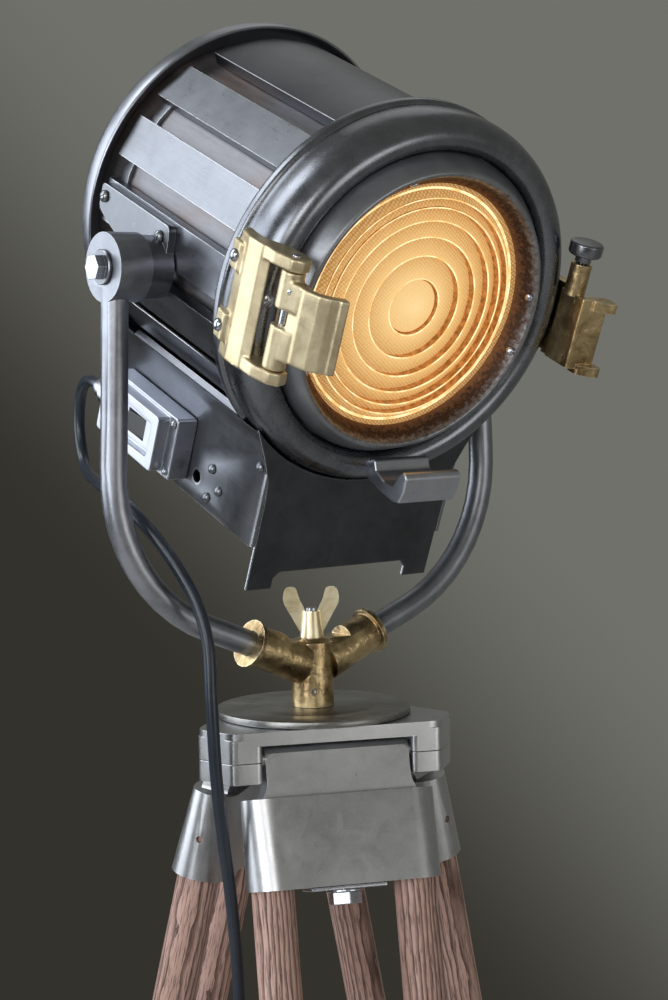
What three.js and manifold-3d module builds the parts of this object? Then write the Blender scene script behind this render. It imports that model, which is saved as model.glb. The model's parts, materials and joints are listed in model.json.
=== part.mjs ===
// A studio spotlight in a tube yoke, standing on a wooden film tripod as a floor lamp.
// Millimetres, +Z up. The lamp faces -Y and its trunnion axis lies along X. The origin is
// on the floor, under the middle of the lamp's outer box.
import * as THREE from "three";
import { mergeVertices } from "three/addons/utils/BufferGeometryUtils.js";
import Module from "manifold-3d";

const GAP = 0.3; // between pieces that touch
const RUNNING = 0.5; // between pieces that move on each other

// Tripod head
const CROWN_HEIGHT = 1080; // top of the crown above the floor
const CROWN_FACE = 73; // axis to each long face
const CROWN_CORNER = 111; // axis to each corner face
const CROWN_PLATE = 11;
const LUG_DROP = 24; // crown top to the hinge axes, where the bearing caps split off
const LUG_GAP = 122; // clear width between two corner lugs
const CAP_HEIGHT = 17;
const HINGE_RADIUS = 60; // tripod axis to each hinge axis
const HINGE_PIN = 7;
const TRIPOD_TURN = THREE.MathUtils.degToRad(20); // first leg, from the lamp's front
const SPLAY = THREE.MathUtils.degToRad(13);
const DISC_RADIUS = 80;
const DISC_THICKNESS = 6;
const SPIGOT_RADIUS = 8;
const THREAD_RADIUS = 5;

// Legs: distances along a leg are measured down from its hinge axis
const HIP_WIDTH = 158;
const HIP_TOP = 31;
const HIP_BOTTOM = 102;
const HIP_TOP_HALF = 18.5; // half the thickness at the top of the body
const HIP_BOTTOM_HALF = 23.5;
const NECK_HALF = 11;
const ROD_RADIUS = 17;
const ROD_SPACING = 117;
const ROD_TOP = 62;
const CLAMP_TOP = 640;
const CLAMP_HEIGHT = 62;
const CLAMP_HALF = 22;
const SPAR_RADIUS = 18;
const SPAR_TOP = 330;
const FOOT_RADIUS = 21.5;
const FOOT_HEIGHT = 46;
const KNOB_RADIUS = 17;

// Yoke
const TRUNNION_RISE = 358; // disc top to the trunnion axis
const ARM_TUBE = 10.6;
const ARM_OFFSET = 177.6; // lamp centre to each arm at its hub
const ARM_LEAN = 5.4; // how much further out the arm is where its bend starts
const ARM_BEND = 130;
const ARM_BEND_RISE = 194; // disc top to the start of the bend
const SOCKET_SLOPE = THREE.MathUtils.degToRad(22);
const HUB_RADIUS = 26.9;
const HUB_FACE = 187.3; // lamp centre to the outer face of a hub
const HUB_LENGTH = 28;
const POST_RADIUS = 17.3;
const TEE_HEIGHT = 56;
const SOCKET_RADIUS = 16.6;
const FLANGE_RADIUS = 19.8;
const FLANGE_RISE = 55; // disc top to the middle of each socket's flange
const FLANGE_REACH = 60; // yoke centre to the middle of each socket's flange
const PIVOT_BOLT = 6;

// Lamp head: distances ahead are along the lamp's axis from the trunnion axis
const TILT = THREE.MathUtils.degToRad(22.8);
const AXIS_RISE = 23; // trunnion axis to the lamp's own axis
const DRUM_RADIUS = 128;
const DRUM_WALL = 2.5;
const STRIP_RADIUS = 139;
const STRIP_DEPTH = 8.5;
const STRIP_WALL = 1.8;
const STRIP_HALF_ANGLE = THREE.MathUtils.degToRad(7.3);
const STRIP_ANGLES = [43.8, 67.1, 90, 113].map(THREE.MathUtils.degToRad);
const COVER_HALF_ANGLE = THREE.MathUtils.degToRad(27);
const STRIP_REAR = -94;
const STRIP_FRONT = 104;
const REAR_RADIUS = 147.5;
const REAR_FACE = -121;
const RING_REAR = 98;
const RING_RADIUS = 150.3;
const RING_SEAT = 133; // where the bezel sits in the front ring
const RING_NOSE = 148.5;
const BEZEL_RADIUS = 121.3;
const BEZEL_FRONT = 158;
const LENS_RADIUS = 103;
const LENS_FACE = 142.5;
const APERTURE = 98.6;
const BOX_HALF_WIDTH = 93;
const BOX_TOP = -103;
const BOX_BOTTOM = -181;
const BOX_REAR = -95;
const SHEET = 2;
const FRONT_PLATE = 132.5; // front face of the front plate
const FRONT_PLATE_WALL = 3;
const FOOT_LINE = -219; // lower edge of the front plate's feet
const BRACKET_FACE = 145; // lamp centre to the outer face of a trunnion bracket
const BOSS_RADIUS = 25;
const SWITCH_BOX = { rear: -78, front: 30, low: -171, high: -118, deep: 18, cover: 11 };
const FOCUS_SHAFT = 5;
const FOCUS_HEIGHT = -155;

// Mains lead
const LEAD_RADIUS = 5;
const COIL_RADIUS = 57.5;
const COIL_TURNS = 4.25;
const COIL_AT = [-175, -83.5]; // from the tripod axis
const PLUG_RADIUS = 19;
const PLUG_AWAY = 92; // coil centre to the plug's collar

const wasm = await Module();
wasm.setup();

// One closed surface: shared corners merged, collapsed faces dropped, faces turned outwards.
function closed(geometry) {
  const bare = geometry.clone();
  bare.deleteAttribute("normal");
  bare.deleteAttribute("uv");
  const merged = mergeVertices(bare, 1e-3);
  const place = merged.getAttribute("position");
  const [a, b, c] = [new THREE.Vector3(), new THREE.Vector3(), new THREE.Vector3()];
  const faces = [];
  let volume = 0;
  for (let i = 0; i < merged.index.count; i += 3) {
    const [p, q, r] = [0, 1, 2].map((step) => merged.index.getX(i + step));
    if (p === q || q === r || r === p) continue;
    faces.push([p, q, r]);
    a.fromBufferAttribute(place, p);
    b.fromBufferAttribute(place, q);
    c.fromBufferAttribute(place, r);
    volume += a.dot(b.cross(c));
  }
  merged.setIndex(faces.flatMap(([p, q, r]) => (volume < 0 ? [p, r, q] : [p, q, r])));
  return merged;
}

function solid(geometry) {
  const merged = closed(geometry);
  return new wasm.Manifold(
    new wasm.Mesh({
      numProp: 3,
      vertProperties: new Float32Array(merged.getAttribute("position").array),
      triVerts: new Uint32Array(merged.index.array),
    }),
  );
}

function surface(manifold) {
  const mesh = manifold.getMesh();
  const geometry = new THREE.BufferGeometry();
  geometry.setAttribute("position", new THREE.BufferAttribute(mesh.vertProperties, 3));
  geometry.setIndex(new THREE.BufferAttribute(mesh.triVerts, 1));
  return geometry;
}

const join = (...pieces) => surface(pieces.map(solid).reduce((sum, next) => sum.add(next)));
const cut = (piece, ...tools) =>
  surface(tools.map(solid).reduce((left, tool) => left.subtract(tool), solid(piece)));

const block = (x0, x1, y0, y1, z0, z1) =>
  new THREE.BoxGeometry(x1 - x0, y1 - y0, z1 - z0).translate((x0 + x1) / 2, (y0 + y1) / 2, (z0 + z1) / 2);
const roundZ = (radius, z0, z1, sides = 20) =>
  new THREE.CylinderGeometry(radius, radius, z1 - z0, sides)
    .rotateX(Math.PI / 2)
    .translate(0, 0, (z0 + z1) / 2);
const roundX = (radius, x0, x1, sides = 20) => roundZ(radius, x0, x1, sides).rotateY(Math.PI / 2);
const roundAhead = (radius, rear, front, sides = 20) =>
  roundZ(radius, rear, front, sides).rotateX(Math.PI / 2);

// A solid of revolution about Z from a closed outline of [radius, height] points.
function turned(outline, sides = 32) {
  const points = [...outline, outline[0]].map(([radius, height]) => new THREE.Vector2(radius, height));
  return new THREE.LatheGeometry(points, sides).rotateX(Math.PI / 2);
}
// The same about the lamp's own axis, from [radius, distance ahead] points.
const turnedAhead = (outline, sides) =>
  turned(outline, sides).rotateX(Math.PI / 2).translate(0, 0, AXIS_RISE);

// An outline whose corners are rounded off by up to the given radius.
function rounded(corners, radius) {
  const points = corners.map(([x, y]) => new THREE.Vector2(x, y));
  const shape = new THREE.Shape();
  points.forEach((corner, i) => {
    const before = points[(i + points.length - 1) % points.length];
    const after = points[(i + 1) % points.length];
    const reach = Math.min(radius, corner.distanceTo(before) / 2.1, corner.distanceTo(after) / 2.1);
    const from = corner.clone().add(before.clone().sub(corner).setLength(reach));
    const to = corner.clone().add(after.clone().sub(corner).setLength(reach));
    if (i === 0) shape.moveTo(from.x, from.y);
    else shape.lineTo(from.x, from.y);
    shape.quadraticCurveTo(corner.x, corner.y, to.x, to.y);
  });
  shape.closePath();
  return shape;
}

const extrude = (shape, from, to, curveSegments = 3) =>
  new THREE.ExtrudeGeometry(shape, { depth: to - from, bevelEnabled: false, curveSegments })
    .translate(0, 0, from);
// Outlines of [across, up] points, drawn out along the lamp's axis.
const extrudeAhead = (shape, rear, front, curveSegments) =>
  extrude(shape, rear, front, curveSegments).rotateX(Math.PI / 2);
// Outlines of [ahead, up] points, drawn out across the lamp from left to right.
const ACROSS = new THREE.Matrix4().makeBasis(
  new THREE.Vector3(0, -1, 0),
  new THREE.Vector3(0, 0, 1),
  new THREE.Vector3(-1, 0, 0),
);
const extrudeAcross = (shape, left, right) => extrude(shape, -right, -left).applyMatrix4(ACROSS);
// Outlines of [across, ahead] points, drawn upwards.
const extrudeUp = (corners, low, high, radius = 0.01) =>
  extrude(rounded(corners.map(([across, ahead]) => [across, -ahead]), radius), low, high);

// A bar or tube of round section along a curve.
function tube(curve, radius, steps, quarter = 3, bore = 0) {
  const section = new THREE.Shape().absarc(0, 0, radius, 0, 2 * Math.PI, false);
  if (bore > 0) {
    const hole = new THREE.Path();
    const sides = 6;
    for (let i = 0; i < sides; i += 1) {
      const angle = (-2 * Math.PI * i) / sides;
      const [x, y] = [bore * Math.cos(angle), bore * Math.sin(angle)];
      if (i === 0) hole.moveTo(x, y);
      else hole.lineTo(x, y);
    }
    hole.closePath();
    section.holes.push(hole);
  }
  return new THREE.ExtrudeGeometry(section, {
    steps,
    extrudePath: curve,
    bevelEnabled: false,
    curveSegments: quarter * 2,
  });
}

const materials = {
  gunmetal: [0x4b4f55, 0.42, 0.9],
  blackSteel: [0x2a2c30, 0.5, 0.8],
  darkSteel: [0x3b3d41, 0.45, 0.85],
  polishedSteel: [0x9a9da0, 0.3, 1],
  aluminium: [0x9b9d9f, 0.38, 0.95],
  brass: [0xb9a878, 0.35, 1],
  agedBrass: [0x8a7038, 0.42, 1],
  wood: [0x8a6a5a, 0.65, 0],
  rubber: [0x20242b, 0.5, 0],
  glass: [0xffc879, 0.15, 0],
  ceramic: [0xd8d2c4, 0.5, 0],
  mirror: [0xd9dadc, 0.08, 1],
};
for (const [name, [color, roughness, metalness]] of Object.entries(materials))
  materials[name] = new THREE.MeshStandardMaterial({ color, roughness, metalness });

function piece(parent, name, material, geometry) {
  const mesh = new THREE.Mesh(closed(geometry), materials[material]);
  mesh.name = name;
  parent.add(mesh);
  return mesh;
}

const lamp = new THREE.Group();
const CROWN_TOP = CROWN_HEIGHT;
const DISC_BOTTOM = CROWN_TOP + GAP;
const DISC_TOP = DISC_BOTTOM + DISC_THICKNESS;
const HINGE_HEIGHT = CROWN_TOP - LUG_DROP;
const LEG_LENGTH = HINGE_HEIGHT / Math.cos(SPLAY);
const legAngle = (leg) => -Math.PI / 2 - TRIPOD_TURN + (leg * 2 * Math.PI) / 3;

// Plan of a corner lug, with the corner's direction along +X.
function lugPlan() {
  const half = LUG_GAP / 2;
  const inner = half / Math.sin(Math.PI / 3);
  const turn = (radial, side) => [
    radial * Math.cos(Math.PI / 3) + side * Math.sin(Math.PI / 3),
    radial * Math.sin(Math.PI / 3) - side * Math.cos(Math.PI / 3),
  ];
  const cornerSide = (CROWN_CORNER - CROWN_FACE * Math.cos(Math.PI / 3)) / Math.sin(Math.PI / 3);
  const [near, side] = turn(CROWN_FACE, half);
  const [far, tip] = turn(CROWN_FACE, cornerSide);
  return [[inner + 3, 0], [near, -side], [far, -tip], [far, tip], [near, side]];
}

// Grooves in which the two hinge pins beside a corner turn.
function pinGrooves() {
  const half = LUG_GAP / 2;
  return [-1, 1].map((side) =>
    roundX(HINGE_PIN + RUNNING, -30, 30, 16)
      .rotateZ(Math.PI / 2)
      .translate(HINGE_RADIUS, side * (half + 26 - 30), 0)
      .rotateZ((-side * Math.PI) / 3),
  );
}

function buildTripodHead() {
  const head = new THREE.Group();
  head.position.z = CROWN_TOP;
  lamp.add(head);
  const cornerSide = (CROWN_CORNER - CROWN_FACE / 2) / Math.sin(Math.PI / 3);
  const plan = [];
  const lugs = [];
  for (let corner = 0; corner < 3; corner += 1) {
    const angle = legAngle(corner);
    for (const side of [-cornerSide, cornerSide])
      plan.push([
        CROWN_FACE * Math.cos(angle) - side * Math.sin(angle),
        CROWN_FACE * Math.sin(angle) + side * Math.cos(angle),
      ]);
    lugs.push(
      extrude(rounded(lugPlan(), 5), -LUG_DROP, -CROWN_PLATE / 2).rotateZ(angle + Math.PI / 3),
    );
  }
  const grooves = [0, 1, 2].flatMap((corner) =>
    pinGrooves().map((groove) => groove.translate(0, 0, -LUG_DROP).rotateZ(legAngle(corner) + Math.PI / 3)),
  );
  piece(
    head,
    "crown",
    "aluminium",
    cut(
      join(extrude(rounded(plan, 10), -CROWN_PLATE, 0), ...lugs),
      roundZ(SPIGOT_RADIUS + RUNNING, -2 * CROWN_PLATE, CROWN_PLATE, 16),
      ...grooves,
    ),
  );
  for (let corner = 0; corner < 3; corner += 1) {
    const cap = cut(
      extrude(rounded(lugPlan(), 5), -CAP_HEIGHT, -GAP),
      ...pinGrooves(),
    )
      .rotateZ(legAngle(corner) + Math.PI / 3)
      .translate(0, 0, -LUG_DROP);
    piece(head, `bearing_cap_${corner + 1}`, "aluminium", cap);
  }
  const edge = 1.2;
  const bore = SPIGOT_RADIUS + RUNNING;
  piece(
    head,
    "turntable_disc",
    "polishedSteel",
    turned([
      [bore, GAP],
      [DISC_RADIUS - edge, GAP],
      [DISC_RADIUS, GAP + edge],
      [DISC_RADIUS, GAP + DISC_THICKNESS - edge],
      [DISC_RADIUS - edge, GAP + DISC_THICKNESS],
      [bore, GAP + DISC_THICKNESS],
    ]),
  );
  const headBottom = -CROWN_PLATE - GAP - 9;
  const threadTop = GAP + DISC_THICKNESS + TEE_HEIGHT + 25;
  const shoulder = GAP + DISC_THICKNESS + TEE_HEIGHT - 9;
  piece(
    head,
    "centre_bolt",
    "polishedSteel",
    join(
      roundZ(14, headBottom, -CROWN_PLATE - GAP, 6),
      roundZ(SPIGOT_RADIUS, headBottom + 2, shoulder, 16),
      roundZ(THREAD_RADIUS, shoulder - 2, threadTop, 12),
    ),
  );
}

// A bar of stadium section along Z whose half thickness grows from the top to the bottom.
function taperedBody(width, top, bottom, topHalf, bottomHalf) {
  const middle = (width - 2 * bottomHalf) / 2;
  const outline = new THREE.Shape();
  outline.absarc(middle, 0, bottomHalf, -Math.PI / 2, Math.PI / 2, false);
  outline.absarc(-middle, 0, bottomHalf, Math.PI / 2, (3 * Math.PI) / 2, false);
  outline.closePath();
  const body = extrude(outline, -bottom, -top, 5);
  const place = body.getAttribute("position");
  for (let i = 0; i < place.count; i += 1) {
    const share = (place.getZ(i) + bottom) / (bottom - top);
    place.setY(i, place.getY(i) * THREE.MathUtils.lerp(1, topHalf / bottomHalf, share));
  }
  return body;
}

function buildLeg(leg) {
  const turn = new THREE.Group();
  turn.rotation.z = legAngle(leg) + Math.PI / 2;
  lamp.add(turn);
  const frame = new THREE.Group();
  frame.position.set(0, -HINGE_RADIUS, HINGE_HEIGHT);
  frame.rotation.x = -SPLAY;
  turn.add(frame);
  const number = leg + 1;
  const rodPlaces = [-ROD_SPACING / 2, ROD_SPACING / 2];
  const neckHalfWidth = LUG_GAP / 2 - 2;
  const neck = extrude(
    rounded(
      [
        [-neckHalfWidth, 4],
        [neckHalfWidth, 4],
        [neckHalfWidth, -HIP_TOP + 8],
        [neckHalfWidth + 6, -HIP_TOP - 3],
        [-neckHalfWidth - 6, -HIP_TOP - 3],
        [-neckHalfWidth, -HIP_TOP + 8],
      ],
      7,
    ),
    -NECK_HALF,
    NECK_HALF,
  ).rotateX(Math.PI / 2);
  const screwHoles = [-1, 1].map((side) =>
    roundX(3, HIP_WIDTH / 2 - 8, HIP_WIDTH / 2 + 8, 10)
      .rotateZ(side > 0 ? 0 : Math.PI)
      .translate(0, 0, -(HIP_TOP + HIP_BOTTOM) / 2 - 2),
  );
  piece(
    frame,
    `hip_casting_${number}`,
    "aluminium",
    cut(
      join(
        roundX(NECK_HALF, -neckHalfWidth, neckHalfWidth, 16),
        neck,
        roundX(HINGE_PIN, -neckHalfWidth - 22, neckHalfWidth + 22, 12),
        taperedBody(HIP_WIDTH, HIP_TOP, HIP_BOTTOM, HIP_TOP_HALF, HIP_BOTTOM_HALF),
      ),
      ...rodPlaces.map((side) =>
        roundZ(ROD_RADIUS + GAP, -HIP_BOTTOM - 5, -ROD_TOP + GAP, 20).translate(side, 0, 0),
      ),
      ...screwHoles,
    ),
  );
  const rodBottom = CLAMP_TOP + CLAMP_HEIGHT - 16;
  ["left", "right"].forEach((hand, i) =>
    piece(
      frame,
      `rod_${hand}_${number}`,
      "wood",
      roundZ(ROD_RADIUS, -rodBottom, -ROD_TOP).translate(rodPlaces[i], 0, 0),
    ),
  );
  const clampBottom = CLAMP_TOP + CLAMP_HEIGHT;
  const clampMiddle = CLAMP_TOP + CLAMP_HEIGHT / 2;
  piece(
    frame,
    `leg_clamp_${number}`,
    "aluminium",
    cut(
      taperedBody(HIP_WIDTH, CLAMP_TOP, clampBottom, CLAMP_HALF, CLAMP_HALF),
      ...rodPlaces.map((side) =>
        roundZ(ROD_RADIUS + GAP, -rodBottom - GAP, -CLAMP_TOP + 5, 20).translate(side, 0, 0),
      ),
      roundZ(SPAR_RADIUS + RUNNING, -clampBottom - 5, -CLAMP_TOP + 5, 20),
      roundZ(4 + RUNNING, SPAR_RADIUS - 4, CLAMP_HALF + 5, 12)
        .rotateX(Math.PI / 2)
        .translate(0, 0, -clampMiddle),
    ),
  );
  piece(
    frame,
    `lock_knob_${number}`,
    "blackSteel",
    turned(
      [
        [0, SPAR_RADIUS + 1.2],
        [4, SPAR_RADIUS + 1.2],
        [4, CLAMP_HALF + 1],
        [9, CLAMP_HALF + 1],
        [9, CLAMP_HALF + 9],
        [KNOB_RADIUS - 2, CLAMP_HALF + 10],
        [KNOB_RADIUS, CLAMP_HALF + 13],
        [KNOB_RADIUS, CLAMP_HALF + 23],
        [KNOB_RADIUS - 3, CLAMP_HALF + 26],
        [0, CLAMP_HALF + 27],
      ],
      14,
    )
      .rotateX(Math.PI / 2)
      .translate(0, 0, -clampMiddle),
  );
  const spar = new THREE.Group();
  spar.position.z = -LEG_LENGTH;
  frame.add(spar);
  piece(spar, `lower_spar_${number}`, "wood", roundZ(SPAR_RADIUS, 14, LEG_LENGTH - SPAR_TOP, 20));
  const floor = block(-60, 60, -60, 60, -40, 0).rotateX(SPLAY);
  piece(
    spar,
    `rubber_foot_${number}`,
    "rubber",
    cut(
      turned(
        [
          [0, -8],
          [FOOT_RADIUS + 3, -8],
          [FOOT_RADIUS + 3, 6],
          [FOOT_RADIUS, 10],
          [FOOT_RADIUS - 1, FOOT_HEIGHT],
          [SPAR_RADIUS + GAP, FOOT_HEIGHT],
          [SPAR_RADIUS + GAP, 14 - GAP],
          [0, 14 - GAP],
        ],
        18,
      ),
      floor,
    ),
  );
}

// The middle line of a yoke arm, from its hub down to inside its socket, on the +X side.
function armLine() {
  const path = new THREE.CurvePath();
  const bendX = ARM_OFFSET + ARM_LEAN;
  const sweep = Math.PI / 2 - SOCKET_SLOPE;
  const top = new THREE.Vector3(ARM_OFFSET, 0, TRUNNION_RISE - 16);
  const bendStart = new THREE.Vector3(bendX, 0, ARM_BEND_RISE);
  const at = (angle) =>
    new THREE.Vector3(
      bendX - ARM_BEND * (1 - Math.cos(angle)),
      0,
      ARM_BEND_RISE - ARM_BEND * Math.sin(angle),
    );
  const points = [top, top.clone().lerp(bendStart, 0.35), top.clone().lerp(bendStart, 0.7)];
  const steps = 8;
  for (let i = 0; i <= steps; i += 1) points.push(at((sweep * i) / steps));
  const bendEnd = at(sweep);
  const reach = (bendEnd.x - FLANGE_REACH + 24) / Math.cos(SOCKET_SLOPE);
  const inward = new THREE.Vector3(-Math.cos(SOCKET_SLOPE), 0, -Math.sin(SOCKET_SLOPE));
  points.push(bendEnd.clone().addScaledVector(inward, reach / 2));
  points.push(bendEnd.clone().addScaledVector(inward, reach));
  return new THREE.CatmullRomCurve3(points, false, "centripetal");
}

function buildYoke() {
  const yoke = new THREE.Group();
  yoke.position.z = DISC_TOP;
  lamp.add(yoke);
  const sockets = [];
  const bores = [];
  const line = armLine();
  const end = line.getPoint(1);
  const slide = new THREE.Vector3(Math.cos(SOCKET_SLOPE), 0, Math.sin(SOCKET_SLOPE));
  const flange = end.clone().addScaledVector(slide, 24 / Math.cos(SOCKET_SLOPE));
  for (const side of [-1, 1]) {
    const aim = (geometry) =>
      geometry
        .rotateY(Math.PI / 2 - SOCKET_SLOPE)
        .translate(flange.x, 0, flange.z)
        .rotateZ(side > 0 ? 0 : Math.PI);
    sockets.push(
      aim(
        turned(
          [
            [0, -52],
            [SOCKET_RADIUS + 1.5, -52],
            [SOCKET_RADIUS, -3],
            [FLANGE_RADIUS, -2],
            [FLANGE_RADIUS, 2],
            [0, 2],
          ],
          20,
        ),
      ),
    );
    bores.push(aim(roundZ(ARM_TUBE + GAP, -24 / Math.cos(SOCKET_SLOPE) - GAP, 20, 12)));
  }
  piece(
    yoke,
    "yoke_tee",
    "agedBrass",
    cut(
      join(
        turned([
          [0, GAP],
          [POST_RADIUS, GAP],
          [POST_RADIUS, TEE_HEIGHT - 3],
          [POST_RADIUS - 4, TEE_HEIGHT],
          [0, TEE_HEIGHT],
        ], 24),
        ...sockets,
      ),
      block(-30, 30, -30, 30, TEE_HEIGHT, TEE_HEIGHT + 40),
      block(-30, 30, -30, 30, -40, GAP),
      ...bores,
      roundZ(SPIGOT_RADIUS + RUNNING, -5, TEE_HEIGHT - 8, 16),
      roundZ(THREAD_RADIUS + RUNNING, TEE_HEIGHT - 12, TEE_HEIGHT + 5, 12),
      roundX(3.6, SPIGOT_RADIUS, 30, 10).rotateZ(-Math.PI / 2 - 0.49).translate(0, 0, 13),
    ),
  );
  for (const [hand, side] of [["left", -1], ["right", 1]]) {
    const hub = roundX(HUB_RADIUS, HUB_FACE - HUB_LENGTH, HUB_FACE, 28).translate(0, 0, TRUNNION_RISE);
    const arm = cut(
      join(hub, tube(line, ARM_TUBE, 22, 3, 7.5)),
      roundX(PIVOT_BOLT + RUNNING, HUB_FACE - HUB_LENGTH - 5, HUB_FACE + 5, 14)
        .translate(0, 0, TRUNNION_RISE),
    );
    const mirrored = side > 0 ? arm : arm.rotateZ(Math.PI);
    piece(yoke, `yoke_arm_${hand}`, "gunmetal", mirrored);
    const head = HUB_FACE + GAP;
    const bolt = join(
      roundX(10.4, head + 2, head + 10, 6),
      roundX(11.6, head, head + 2.6, 16),
      roundX(PIVOT_BOLT, HUB_FACE - HUB_LENGTH - 13, head + 3, 14),
    ).translate(0, 0, TRUNNION_RISE);
    piece(yoke, `pivot_bolt_${hand}`, "polishedSteel", side > 0 ? bolt : bolt.rotateZ(Math.PI));
  }
  const nut = new THREE.Group();
  nut.position.z = TEE_HEIGHT + GAP;
  nut.rotation.z = -Math.PI / 5;
  yoke.add(nut);
  const ears = [-1, 1].map((side) =>
    extrude(
      rounded(
        [
          [side * 4, 3],
          [side * 9, 4],
          [side * 24, 31],
          [side * 21, 42],
          [side * 12, 42],
          [side * 10, 32],
          [side * 4, 21],
        ],
        6,
      ),
      -1.8,
      1.8,
    ).rotateX(Math.PI / 2),
  );
  piece(
    nut,
    "wing_nut",
    "brass",
    cut(
      join(turned([[0, 0], [9.6, 0], [9.6, 2], [7.6, 22], [0, 22]], 16), ...ears),
      roundZ(THREAD_RADIUS + RUNNING, -5, 60, 12),
    ),
  );
}

// A bent strip of the ventilated jacket: a flat outer face with both edges turned in.
function stripShape(angle) {
  const half = STRIP_RADIUS * Math.sin(STRIP_HALF_ANGLE);
  const face = STRIP_RADIUS * Math.cos(STRIP_HALF_ANGLE);
  const corners = [
    [-half, face - STRIP_DEPTH],
    [-half, face],
    [half, face],
    [half, face - STRIP_DEPTH],
    [half - STRIP_WALL, face - STRIP_DEPTH],
    [half - STRIP_WALL, face - STRIP_WALL],
    [STRIP_WALL - half, face - STRIP_WALL],
    [STRIP_WALL - half, face - STRIP_DEPTH],
  ];
  const shape = new THREE.Shape(
    corners.map(([t, n]) => new THREE.Vector2(
      t * Math.cos(angle) - n * Math.sin(angle),
      t * Math.sin(angle) + n * Math.cos(angle),
    )),
  );
  return extrudeAhead(shape, STRIP_REAR, STRIP_FRONT).translate(0, 0, AXIS_RISE);
}

// Part of a ring about the lamp's axis, between two angles from straight up.
function arcBand(inner, outer, from, to, rear, front, segments = 8) {
  const shape = new THREE.Shape();
  shape.absarc(0, 0, outer, Math.PI / 2 + from, Math.PI / 2 + to, false);
  shape.absarc(0, 0, inner, Math.PI / 2 + to, Math.PI / 2 + from, true);
  shape.closePath();
  return extrudeAhead(shape, rear, front, segments / 2).translate(0, 0, AXIS_RISE);
}

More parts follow.
